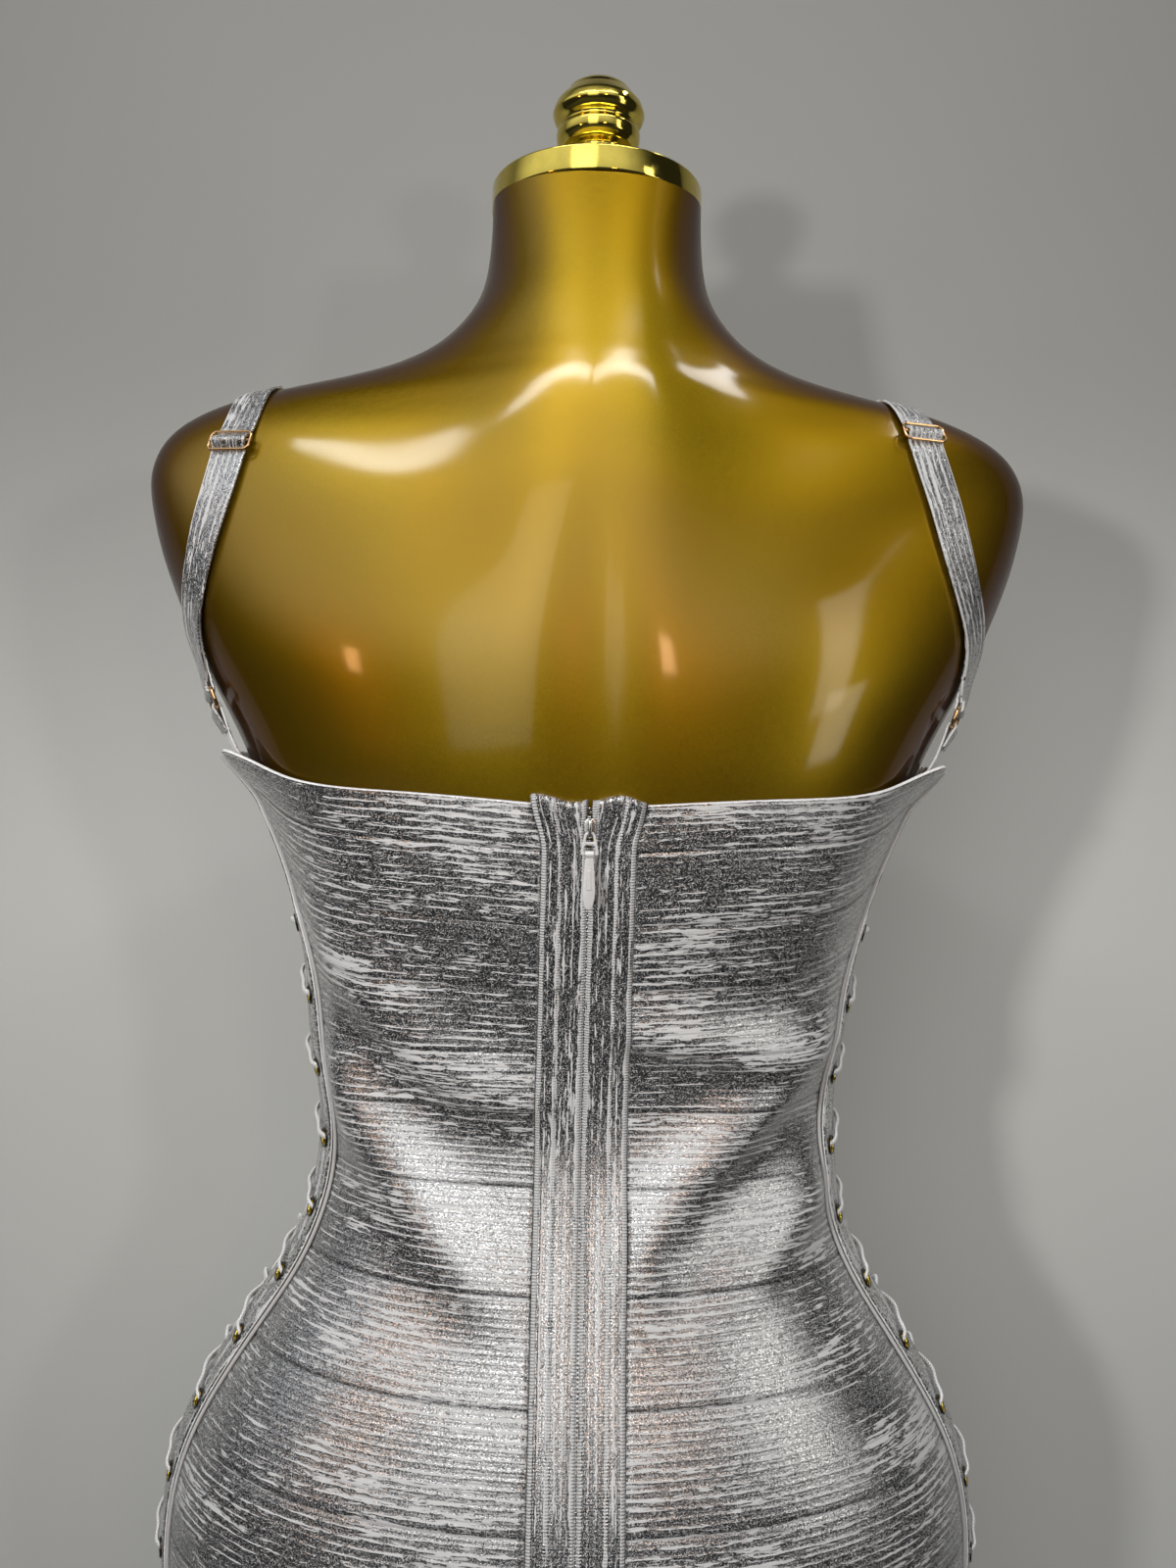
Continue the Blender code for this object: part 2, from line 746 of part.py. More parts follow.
def front_middle(height):
    """Distance from the side line to the centre front."""
    return half_girth(height, towards_back=False)


def build_front_panel(root):
    """Front panel, from one side's piping round to the other's."""
    shares = np.linspace(0, 1, FRONT_COLUMNS // 2 + 1)
    halves = [
        panel_skins(side, shares, False, front_middle, FRONT_TOP, FRONT_EDGE)
        for side in (1, -1)
    ]
    grids = []
    for skin in (0, 1):
        rows = []
        for left, right in zip(halves[0][skin], halves[1][skin]):
            middle = (left[-1] + right[-1]) / 2
            rows.append(left[:-1] + [middle] + right[-2::-1])
        grids.append(rows)
    place("front_panel", wall(*grids, "front_panel"), "foil_knit", root)


def zip_band_flare(height):
    """How much wider the zip band is where its folded top end spreads."""
    return 3.0 * MM * ease(height, 1.135, BACK_TOP)


def zip_band_spread(height):
    """How far the folded top end of the zip band stands off."""
    return 1.2 * MM * ease(height, BACK_TOP - 26 * MM, BACK_TOP)


def zip_band_edge(height):
    """Distance from the side line to the back panel's edge beside the zip band."""
    width = ZIP_OPENING / 2 + ZIP_BAND_WIDTH + SEAM + zip_band_flare(height)
    return half_girth(height) - width


def build_zip_bands(root):
    """The upright strips beside the zip."""
    levels = row_heights(1.0, BACK_TOP, PLAIN_EDGE)
    for side, label in ((1, "left"), (-1, "right")):
        inner, outer = [], []
        for height in levels:
            far = half_girth(height) - ZIP_OPENING / 2
            near = zip_band_edge(height) + SEAM
            around = [near, (near + far) / 2, far]
            lift = FORM_GAP + zip_band_spread(height)
            rise = CLOTH + ZIP_BAND_RISE
            inner.append([cloth_point(height, a, lift, side) for a in around])
            outer.append([cloth_point(height, a, lift + rise, side) for a in around])
        name = f"zip_band_{label}"
        place(name, wall(inner, outer, name), "foil_knit", root)


# ---------------------------------------------------------------- side lacing


def eyelet_heights():
    """Heights of the eyelets, evenly spaced along the side of the dress."""
    levels = np.linspace(LACING_BOTTOM, LACING_TOP, 200)
    line = np.array([on_figure(level, 0.0) for level in levels])
    along = np.concatenate([[0], np.cumsum(np.linalg.norm(np.diff(line, axis=0), axis=1))])
    marks = np.linspace(0, along[-1], EYELETS_PER_COLUMN)
    return [float(np.interp(mark, along, levels)) for mark in marks]


def band_middle(height):
    """Distance from the side line to the middle of an eyelet band."""
    return gap_half(height) + EYELET_BAND_WIDTH / 2


def band_frame(height, way, side):
    """Middle of an eyelet band's wall, with its outward normal and its two directions."""
    lift = BAND_GAP + CLOTH / 2
    centre = cloth_point(height, way * band_middle(height), lift, side)
    above = cloth_point(height + MM, way * band_middle(height + MM), lift, side)
    below = cloth_point(height - MM, way * band_middle(height - MM), lift, side)
    up = (above - below).normalized()
    normal = normal_at(height, way * band_middle(height), side)
    normal = (normal - up * normal.dot(up)).normalized()
    to_gap = up.cross(normal).normalized()
    if to_gap.dot(cloth_point(height, 0.0, lift, side) - centre) < 0:
        to_gap.negate()
    return centre, normal, up, to_gap


def band_row(height, way, side, lift):
    """Three points across an eyelet band: the gap's edge, the middle and the piping's edge."""
    edges = (gap_half(height), band_middle(height), gap_half(height) + EYELET_BAND_WIDTH)
    return [cloth_point(height, way * around, lift, side) for around in edges]


def hole_ring(frame, offset):
    """Points round an eyelet's hole, off the wall's middle by offset, as the cell's border runs."""
    centre, normal, up, to_gap = frame
    ring = []
    for i in range(HOLE_SIDES):
        angle = math.tau * (i - 1) / HOLE_SIDES
        way = to_gap * math.cos(angle) + up * math.sin(angle)
        ring.append(centre + way * EYELET_HOLE_RADIUS + normal * offset)
    return ring


def eyelet_band(name, way, side):
    """Upright strip with a row of round holes, as one closed wall."""
    holes = eyelet_heights()
    spacing = np.diff(holes)
    cuts = [holes[0] - spacing[0] / 2]
    cuts += [(low + high) / 2 for low, high in zip(holes, holes[1:])]
    cuts.append(holes[-1] + spacing[-1] / 2)
    top = BACK_TOP + read_table(BACK_EDGE, 0.0)
    levels = [(HEM_HEIGHT, None), ((HEM_HEIGHT + cuts[0]) / 2, None)]
    for cut, hole in zip(cuts, holes):
        levels += [(cut, None), (hole, hole)]
    levels += [(level, None) for level in np.linspace(cuts[-1], top, 5)]

    shape = bmesh.new()
    skins = []
    for lift in (BAND_GAP, BAND_GAP + CLOTH):
        rows = [
            [shape.verts.new(point) for point in band_row(height, way, side, lift)]
            for height, _ in levels
        ]
        skins.append(rows)
    rings = [[], []]
    for skin, offset in ((0, -CLOTH / 2), (1, CLOTH / 2)):
        rows = skins[skin]
        for i, (_, hole) in enumerate(levels[:-1]):
            if hole is not None:
                below, here, above = rows[i - 1], rows[i], rows[i + 1]
                border = [below[0], here[0], above[0], above[1], above[2], here[2], below[2], below[1]]
                ring = [shape.verts.new(p) for p in hole_ring(band_frame(hole, way, side), offset)]
                add_strip(shape, border, ring, closed=True)
                rings[skin].append(ring)
                shape.verts.remove(here[1])
                here[1] = None
            elif levels[i + 1][1] is None:
                add_strip(shape, rows[i], rows[i + 1], closed=False)
    for inner_ring, outer_ring in zip(*rings):
        add_strip(shape, inner_ring, outer_ring, closed=True)
    add_strip(shape, edge_loop(skins[0]), edge_loop(skins[1]), closed=True)
    return mesh_of(shape, name)


def band_point(height, way, side, around, lift):
    """Point over or under an eyelet band."""
    return cloth_point(height, way * around, lift, side)


def strand(side, first_way):
    """Route of one strand from the lowest eyelet to the highest, crossing the gap at each step."""
    under = BAND_GAP - LACE_CLEARANCE - LACE_DIAMETER / 2
    over = BAND_GAP + CLOTH + LACE_CLEARANCE + LACE_DIAMETER / 2
    heights = eyelet_heights()
    climb = LACE_CLIMB * (heights[1] - heights[0])
    route = []
    for i, height in enumerate(heights):
        way = first_way if i % 2 == 0 else -first_way
        if i > 0:
            arrive = height - climb
            edge = band_point(arrive, way, side, gap_half(arrive) - LACE_DIAMETER / 2, under)
            crossing = LACE_BED + (LACE_DIAMETER + LACE_CLEARANCE) * (way > 0)
            route.append(band_point((height + heights[i - 1]) / 2, way, side, 0.0, crossing))
            route.append(edge)
        route.append(band_point(height, way, side, band_middle(height), under))
        route.append(band_point(height, way, side, band_middle(height), over))
        if i < len(heights) - 1:
            leave = height + climb
            route.append(band_point(leave, way, side, gap_half(leave) - LACE_CLEARANCE * 2, over))
    return route


def lace_route(side):
    """One closed lace: up one strand, over the gap at the top, down the other and under the gap."""
    rising, falling = strand(side, 1), strand(side, -1)[::-1]
    top, foot = eyelet_heights()[-1], eyelet_heights()[0]
    over = BAND_GAP + CLOTH + LACE_CLEARANCE + LACE_DIAMETER / 2
    under = BAND_GAP - LACE_CLEARANCE - LACE_DIAMETER / 2
    top_bar = [band_point(top, way, side, gap_half(top), over) for way in (-1, 1)]
    foot_bar = [band_point(foot, way, side, gap_half(foot), under) for way in (-1, 1)]
    return rising + top_bar + falling + foot_bar


def build_lacing(root):
    """Eyelet bands, pipings and laces of both sides."""
    for side, label in ((1, "left"), (-1, "right")):
        for way, part, top, edge in (
            (1, "back", BACK_TOP, BACK_EDGE),
            (-1, "front", FRONT_TOP, FRONT_EDGE),
        ):
            name = f"eyelet_band_{part}_{label}"
            place(name, eyelet_band(name, way, side), "foil_knit", root)
            name = f"piping_{part}_{label}"
            lift = FORM_GAP + CLOTH + PIPING_RISE
            levels = row_heights(0.0, top, edge)
            line = [cloth_point(z, way * piping_line(z), lift, side) for z in levels]
            place(name, tube(line, PIPING_DIAMETER / 2, name, rings=0), "white_knit", root)
        name = f"lace_{label}"
        cord = tube(lace_route(side), LACE_DIAMETER / 2, name, rings=0, cyclic=True)
        place(name, cord, "lace_cord", root)


# ---------------------------------------------------------------- straps

# Bed of the left strap, from inside the dress at the back over the shoulder to its front, and how
# much nearer the middle the right strap lies: height, distance across, 1 behind, 0 on or -1 in
# front of the shoulder's ridge, lift off the form, shift on the right
STRAP_BED = (
    (1.1680, 0.1465, 1, 0.0012, 0.000),
    (1.1850, 0.1545, 1, 0.0045, 0.000),
    (1.2000, 0.1615, 1, 0.0036, 0.000),
    (1.2150, 0.1695, 1, 0.0018, 0.001),
    (1.2360, 0.1755, 1, 0.0010, 0.004),
    (1.2560, 0.1735, 1, 0.0005, 0.007),
    (1.2780, 0.1680, 1, 0.0005, 0.009),
    (1.2980, 0.1625, 1, 0.0005, 0.009),
    (1.3180, 0.1585, 1, 0.0005, 0.010),
    (1.3330, 0.1558, 1, 0.0007, 0.010),
    (1.3450, 0.1540, 1, 0.0010, 0.011),
    (1.3515, 0.1530, 0, 0.0014, 0.011),
    (1.3450, 0.1525, -1, 0.0020, 0.010),
    (1.3330, 0.1510, -1, 0.0007, 0.008),
    (1.3180, 0.1470, -1, 0.0005, 0.006),
    (1.2980, 0.1400, -1, 0.0005, 0.004),
    (1.2780, 0.1310, -1, 0.0010, 0.002),
    (1.2580, 0.1210, -1, 0.0024, 0.001),
    (1.2400, 0.1125, -1, 0.0050, 0.000),
    (1.2240, 0.1060, -1, 0.0060, 0.000),
)


def turn_across(height, across):
    """Turn from the side line at which the figure is this wide at a height."""
    turns = np.radians(np.linspace(0, 90, 91))
    widths = np.array([figure_at(height, turn).x for turn in turns])
    return float(np.interp(-across, -widths, turns))


def ridge_height(across):
    """Height of the shoulder's ridge at a distance across."""
    ridge = FIGURE_LEVELS[FIGURE_LEVELS[:, 0] > SHOULDER_HEIGHT]
    return float(np.interp(-across, -ridge[:, 1], ridge[:, 0]))


def strap_bed(side):
    """Distances along the strap's bed from the ring, with the bed's points and normals."""
    rows = []
    for height, across, way, lift, right_shift in STRAP_BED:
        across -= right_shift if side < 0 else 0
        if way == 0:
            height = ridge_height(across)
        point, normal = surface(height, way * turn_across(height, across))
        rows.append((*(point + normal * lift), *normal))
    curve = smoothed(tuple(rows), 16)
    along = np.concatenate([[0], np.cumsum(np.linalg.norm(np.diff(curve[:, :3], axis=0), axis=1))])
    ring = np.interp(RING_HEIGHT, curve[: len(curve) // 2, 2], along[: len(curve) // 2])
    return along - ring, curve


class Bed:
    """Places on one strap's bed, by distance along it from the ring and by height above it."""

    def __init__(self, side, adjuster_height):
        self.side = side
        self.along, self.curve = strap_bed(side)
        self.length = float(self.along[-1])
        half = len(self.curve) // 2
        self.adjuster = float(np.interp(adjuster_height, self.curve[:half, 2], self.along[:half]))

    def read(self, along):
        """Point and normal of the bed."""
        values = [float(np.interp(along, self.along, self.curve[:, i])) for i in range(6)]
        values[0] *= self.side
        values[3] *= self.side
        return Vector(values[:3]), Vector(values[3:]).normalized()

    def frame(self, along):
        """Point, direction across the strap, direction along it and normal, all one way at the ring."""
        point = self.read(along)[0]
        by_ring = -RING_LENGTH - STEADY_REACH < along < STEADY_REACH
        heading = -RING_LENGTH / 2 if by_ring else along
        normal = self.read(heading)[1]
        ahead = (self.read(heading + MM)[0] - self.read(heading - MM)[0]).normalized()
        normal = (normal - ahead * normal.dot(ahead)).normalized()
        return point, ahead.cross(normal), ahead, normal

    def ribbon(self, route, name):
        """Band through (distance, height of its middle) pairs."""
        path, widths, thicknesses = [], [], []
        for i, (along, height) in enumerate(route):
            point, across, ahead, normal = self.frame(along)
            path.append(point + normal * height)
            widths.append(across * STRAP_WIDTH / 2)
            before = Vector(route[max(i - 1, 0)])
            after = Vector(route[min(i + 1, len(route) - 1)])
            way = (after - before).normalized()
            thicknesses.append((ahead * -way.y + normal * way.x) * STRAP_THICKNESS / 2)
        return ribbon(path, widths, thicknesses, name)

    def loop(self, low, high, height, half_width, wire, name):
        """Rectangular wire frame with its bars at two places along the strap."""
        foot, foot_across, _, foot_normal = self.frame(low)
        head, head_across, _, head_normal = self.frame(high)
        foot, head = foot + foot_normal * height, head + head_normal * height
        across = (foot_across + head_across).normalized()
        outline = rounded(rectangle(2 * half_width, (head - foot).length), 2 * wire, steps=2)
        ahead = (head - foot).normalized()
        points = [(foot + head) / 2 + across * x + ahead * y for x, y in outline]
        return tube(points, wire, name, cyclic=True)

    def bar(self, along, height, half_width, wire, name):
        """Straight wire across the strap."""
        point, across, _, normal = self.frame(along)
        middle = point + normal * height
        return tube([middle - across * half_width, middle + across * half_width], wire, name)


def turn_round_bar(along, height, reach, way):
    """(distance, height) pairs of a half turn round a wire, from above it to below it."""
    angles = [math.pi / 2 - way * math.pi * i / 4 for i in range(5)]
    return [(along + reach * math.cos(a), height + reach * math.sin(a)) for a in angles]


def build_straps(root):
    """Straps with their adjusters, rings and tabs."""
    lower = STRAP_THICKNESS / 2
    upper = lower + STRAP_THICKNESS + LAYER_GAP
    reach = RING_WIRE + LAYER_GAP + STRAP_THICKNESS / 2
    ring_height = lower + reach
    weave = ADJUSTER_WIRE + 2 * LAYER_GAP + STRAP_THICKNESS / 2
    adjuster_height = upper + weave
    for side, label in ((1, "left"), (-1, "right")):
        bed = Bed(side, ADJUSTER_HEIGHTS[label])
        middle, half = bed.adjuster, ADJUSTER_HALF_LENGTH
        # From the front's top edge over the shoulder and through the adjuster
        route = [(along, lower) for along in np.linspace(bed.length, middle + 4 * half, 15)]
        route += [
            (middle + 2 * half, lower + 0.4 * MM),
            (middle + half, upper),
            (middle + 0.5 * half, adjuster_height),
            (middle, adjuster_height + weave),
            (middle - 0.5 * half, adjuster_height),
            (middle - half, upper),
        ]
        # Down to the ring, round it, and back up beneath to the adjuster's middle bar
        route += [(along, upper) for along in np.linspace(middle - 2 * half, 12 * MM, 8)]
        route.append((5 * MM, upper + 0.6 * reach))
        route += turn_round_bar(0.0, ring_height, reach, -1)
        route += [(along, lower) for along in np.linspace(6 * MM, middle - 1.6 * half, 8)]
        route.append((middle - 0.5 * half, lower + 0.5 * MM))
        route.append((middle, upper))
        place(f"strap_{label}", bed.ribbon(route, f"strap_{label}"), "foil_knit", root)

        name = f"strap_adjuster_{label}"
        shape = (adjuster_height, ADJUSTER_HALF_WIDTH, ADJUSTER_WIRE)
        frame = bed.loop(middle - half, middle + half, *shape, name)
        adjuster = place(name, frame, "rose_gold_wire", root)
        bar = bed.bar(middle, *shape, name + "_bar")
        joined(adjuster, [helper(name + "_bar", bar)])

        name = f"strap_ring_{label}"
        ring = bed.loop(-RING_LENGTH, 0.0, ring_height, RING_HALF_WIDTH, RING_WIRE, name)
        place(name, ring, "rose_gold_wire", root)

        # Tab: from inside the dress round the ring's lower bar and back to the dress's edge
        foot = bed.along[0] + 9 * MM
        tab = [(along, lower) for along in np.linspace(foot, -RING_LENGTH - 5 * MM, 4)]
        tab += turn_round_bar(-RING_LENGTH, ring_height, reach, 1)[::-1]
        tab += [(-RING_LENGTH - 5 * MM, upper + 0.6 * reach), (-RING_LENGTH - 10 * MM, upper)]
        name = f"strap_tab_{label}"
        place(name, bed.ribbon(tab, name), "foil_knit", root)


# ---------------------------------------------------------------- zip


def centre_back(height, lift):
    """Point on the middle of the back, lifted off the form."""
    point, normal = surface(height, math.pi / 2)
    return Vector((0, point.y, point.z)) + Vector((0, normal.y, normal.z)) * lift


def zip_lift(height):
    """How far the outer face of the zip bands stands off the form."""
    return FORM_GAP + zip_band_spread(height) + CLOTH + ZIP_BAND_RISE


def chain_lift():
    """How far the middle of the chain stands off the form."""
    return FORM_GAP + CLOTH / 2 + CHAIN_LIFT


def pull_hinge():
    """Middle of the bar on which the pull ring turns, at the lower end of the slider's bridge."""
    plate_top = SLIDER_HEIGHT + PLATE_LENGTH / 2
    bands = centre_back(plate_top, zip_lift(plate_top)).y
    low = SLIDER_HEIGHT - BRIDGE_LENGTH / 2 + BRIDGE_DEPTH / 2
    return Vector((0, bands + LAYER_GAP + PLATE_THICKNESS + BRIDGE_DEPTH / 2, low))


def circle(radius, sides):
    """Outline of a circle about the origin."""
    angles = [math.tau * i / sides for i in range(sides)]
    return [(radius * math.cos(a), radius * math.sin(a)) for a in angles]


def mirrored_outline(half, radius, steps):
    """Whole outline in metres from its right half in millimetres, with rounded corners."""
    corners = list(half) + [(-across, up) for across, up in reversed(half)]
    return rounded([(across * MM, up * MM) for across, up in corners], radius, steps)


def box_mesh(size):
    """Mesh of a box about the origin."""
    shape = bmesh.new()
    bmesh.ops.create_cube(shape, size=1.0)
    bmesh.ops.scale(shape, vec=size, verts=shape.verts)
    return mesh_of(shape, "box")


def build_chain(root):
    """The closed chain that lies between the zip bands."""
    levels = np.linspace(HEM_HEIGHT, CHAIN_TOP, CHAIN_POINTS)
    path = [centre_back(height, chain_lift()) for height in levels]
    ends = list(zip([path[0]] + path[:-1], path[1:] + [path[-1]]))
    outward = [Vector((1, 0, 0)).cross(after - before).normalized() for before, after in ends]
    thick = [-normal * CHAIN_THICKNESS / 2 for normal in outward]
    wide = [Vector((CHAIN_WIDTH / 2, 0, 0))] * len(path)
    place("zip_chain", ribbon(path, wide, thick, "zip_chain"), "zip_nickel", root)


def build_slider(root):
    """The slider: a plate over the bands, a bridge on it and a stem between the bands."""
    hinge = pull_hinge()
    plate_middle = hinge - Vector((0, (BRIDGE_DEPTH + PLATE_THICKNESS) / 2, 0))
    plate_middle.z = SLIDER_HEIGHT
    plate_mesh = box_mesh((PLATE_WIDTH, PLATE_THICKNESS, PLATE_LENGTH))
    slider = place("zip_slider", plate_mesh, "zip_nickel", root)
    slider.location = plate_middle

    outer = rounded(rectangle(BRIDGE_DEPTH, BRIDGE_LENGTH), BRIDGE_DEPTH / 2 - 0.1 * MM)
    tunnel_depth = BRIDGE_DEPTH - 2 * BRIDGE_WALL
    tunnel_length = BRIDGE_LENGTH - 2 * BRIDGE_WALL
    tunnel = rounded(rectangle(tunnel_depth, tunnel_length), tunnel_depth / 2 - 0.05 * MM)
    bridge_mesh = plate([outer, tunnel], BRIDGE_WIDTH, "zip_bridge", ON_SIDE)
    bridge = helper("zip_bridge", bridge_mesh)
    bridge.location = (0, hinge.y - BRIDGE_SUNK, SLIDER_HEIGHT)

    chain_top = centre_back(SLIDER_HEIGHT + PLATE_LENGTH / 2, chain_lift() + CHAIN_THICKNESS / 2)
    stem_depth = plate_middle.y - chain_top.y - LAYER_GAP
    stem = helper("zip_stem", box_mesh((CHAIN_WIDTH, stem_depth, STEM_LENGTH)))
    stem.location = plate_middle - Vector((0, stem_depth / 2, 0))
    joined(slider, [bridge, stem])


def build_pull(root):
    """The flat ring that hangs from the slider's bridge, and the tab that hangs from the ring."""
    hinge = pull_hinge()
    outlines = [
        mirrored_outline(RING_OUTLINE, 0.8 * MM, 4),
        mirrored_outline(RING_UPPER_HOLE, 0.35 * MM, 2),
        mirrored_outline(RING_LOWER_HOLE, 0.4 * MM, 2),
    ]
    mesh = plate(outlines, PULL_THICKNESS, "pull_ring")
    place("pull_ring", mesh, "zip_nickel", root).location = hinge

    eye = [circle(TAB_LOOP_OUTER, 12), circle(TAB_LOOP_INNER, 12)]
    tab = place("pull_tab", plate(eye, TAB_LOOP_WIDTH, "pull_tab", ON_SIDE), "zip_enamel", root)
    tab.location = hinge - Vector((0, 0, PULL_DROP))
    blade_outline = mirrored_outline(TAB_OUTLINE, 0.9 * MM, 2)
    blade = helper("pull_blade", plate([blade_outline], TAB_THICKNESS, "pull_blade"))
    blade.location = tab.location
    joined(tab, [blade])


def main():
    for old in list(bpy.data.objects):
        bpy.data.objects.remove(old)
    for name in (COLLECTION, CUTTERS):
        bpy.context.scene.collection.children.link(bpy.data.collections.new(name))
    bpy.data.collections[CUTTERS].hide_render = True
    root = bpy.data.objects.new("dress_on_form", None)
    bpy.data.collections[COLLECTION].objects.link(root)
    build_form(root)
    build_back_panels(root)
    build_front_panel(root)
    build_zip_bands(root)
    build_lacing(root)
    build_straps(root)
    build_chain(root)
    build_slider(root)
    build_pull(root)


main()
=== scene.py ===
"""Looks of a foil-printed bandage dress, laced at its sides and worn by a glossy gold dress form.

Metres, +Z up. The dress's back and its zip face +Y, its front faces -Y, and the wearer's left is +X.
The figure is a function of height and of the turn from the side line, and the cloth on it is one
of height and of the distance round from that line.
"""

import math

import bmesh
import bpy
import numpy as np
from mathutils import Matrix, Vector

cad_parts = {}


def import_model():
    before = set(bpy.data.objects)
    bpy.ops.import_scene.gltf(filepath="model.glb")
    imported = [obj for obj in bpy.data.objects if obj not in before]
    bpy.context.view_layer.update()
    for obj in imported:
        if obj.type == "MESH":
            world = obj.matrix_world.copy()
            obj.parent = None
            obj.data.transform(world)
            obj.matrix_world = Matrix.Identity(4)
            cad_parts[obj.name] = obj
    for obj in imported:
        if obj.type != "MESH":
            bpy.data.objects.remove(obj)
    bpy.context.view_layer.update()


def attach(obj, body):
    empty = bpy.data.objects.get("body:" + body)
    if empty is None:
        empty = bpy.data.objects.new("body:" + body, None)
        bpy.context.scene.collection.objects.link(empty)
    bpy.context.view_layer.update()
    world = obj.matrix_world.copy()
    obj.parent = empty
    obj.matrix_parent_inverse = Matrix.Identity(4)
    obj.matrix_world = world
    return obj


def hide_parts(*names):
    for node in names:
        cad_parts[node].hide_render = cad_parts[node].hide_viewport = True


MM = 0.001

# Heights above the floor
HEM_HEIGHT = 0.560
FORM_BOTTOM = 0.700
BACK_TOP = 1.166
FRONT_TOP = 1.214
NECK_TOP = 1.446
SHOULDER_HEIGHT = 1.311
LACING_TOP = 1.106
LACING_BOTTOM = 0.628
NECKLINE_FOOT = 1.030

# Cloth and its seams
CLOTH = 1.5 * MM
FORM_GAP = 1.8 * MM
SEAM = 0.3 * MM
SEAM_DIP = 0.4 * MM
STRIP_CROWN = 0.12 * MM
SEAM_HEIGHTS = (
    0.560, 0.584, 0.626, 0.668, 0.710, 0.752, 0.795, 0.837, 0.880,
    0.922, 0.961, 1.002, 1.034, 1.060, 1.088, 1.116, 1.147, 1.166,
)  # fmt: skip
RIB_PITCH = 3.2 * MM
WALE_PITCH = 1.15 * MM
STREAK_WANDER = 0.0022

# Zip
ZIP_OPENING = 3.4 * MM
ZIP_CLOSED = 0.3 * MM
ZIP_BAND_WIDTH = 17.2 * MM
ZIP_BAND_RISE = 0.9 * MM
ZIP_FOLD_RADIUS = 2.4 * MM
TUCK_WIDTH = 0.45 * MM
ZIP_PARTING = (1.142, 1.150)
TOP_WIDENING = 4.2 * MM
WIDENING_FOOT = 1.144
TOP_STAND_OFF = 1.2 * MM
STAND_OFF_FOOT = BACK_TOP - 26 * MM
CHAIN_TOP = 1.163
TOOTH_PITCH = 1.6 * MM
SLIDER_HEIGHT = 1.1535
PLATE_WIDTH = 4.8 * MM
PLATE_LENGTH = 8.0 * MM
PLATE_THICKNESS = 1.0 * MM
BRIDGE_LENGTH = 7.6 * MM
BRIDGE_DEPTH = 3.8 * MM
BRIDGE_WALL = 0.8 * MM
BRIDGE_WIDTH = 1.3 * MM
PULL_THICKNESS = 0.9 * MM
PULL_DROP = 8.3 * MM

# Side lacing
EYELET_BAND_WIDTH = 22 * MM
EYELET_INSET = 7.0 * MM
EYELET_BAND_ROWS = 420
BAND_GAP = 4.0 * MM
PIPING_DIAMETER = 2.4 * MM
PIPING_CORD = 1.8 * MM
PIPING_SEAM = 0.6 * MM
PIPING_RISE = 0.3 * MM
EYELETS_PER_COLUMN = 16
EYELET_HOLE_RADIUS = 3.1 * MM
EYELET_RADIUS = 4.5 * MM
LACE_WIDTH = 3.0 * MM
LACE_THICKNESS = 1.7 * MM
LACE_CLEARANCE = 0.4 * MM
LACE_CLIMB = 0.30
LACE_EXIT = 3.6 * MM
LACE_BED = 1.8 * MM
LACE_UNDER = BAND_GAP - LACE_CLEARANCE - LACE_THICKNESS / 2
LACE_OVER = BAND_GAP + CLOTH + LACE_CLEARANCE + LACE_THICKNESS / 2
LACE_RIM = BAND_GAP + CLOTH + 1.6 * MM
BRAID_PITCH = 1.6 * MM
BRAID_STARTS = 4
LACE_STEPS = 7

# Straps
STRAP_WIDTH = 17 * MM
STRAP_THICKNESS = 1.0 * MM
LAYER_GAP = 0.3 * MM
ADJUSTER_HEIGHTS = {"left": 1.317, "right": 1.330}
ADJUSTER_HALF_WIDTH = 10.4 * MM
ADJUSTER_HALF_LENGTH = 4.4 * MM
ADJUSTER_WIRE = 0.6 * MM
RING_HEIGHT = 1.209
RING_HALF_WIDTH = 11.2 * MM
RING_LENGTH = 9.0 * MM
RING_WIRE = 0.9 * MM
STEADY_REACH = 4 * MM
TOOTHED_EDGE = 0.022

# Neck and stand
CAP_RADIUS = 0.0508
CAP_HEIGHT = 0.012
NECK_CENTRE = -0.012
TOUCH = 0.3 * MM
BASE_RADIUS = 0.160
BASE_THICKNESS = 0.014
BASE_TOP = 0.018
POLE_RADIUS = 0.0125
COLLAR_RADIUS = 0.045
COLLAR_THICKNESS = 0.008

# Profile of the finial in millimetres, as (radius, height) from its foot up
FINIAL = (
    (0, 0), (21.0, 0), (21.0, 3.6), (17.5, 5.2), (17.5, 6.6), (14.0, 8.0), (14.0, 9.6),
    (12.5, 11.0), (12.5, 15.5), (14.2, 17.5), (14.2, 19.5), (17.5, 20.5), (20.0, 24.0),
    (20.5, 28.5), (18.3, 31.5), (21.0, 34.0), (22.5, 37.5), (21.2, 42.0), (17.2, 46.8),
    (16.6, 47.2), (15.2, 49.6), (11.5, 52.2), (6.0, 53.7), (0, 54.0),
)  # fmt: skip

SIDES = ((1, "left"), (-1, "right"))

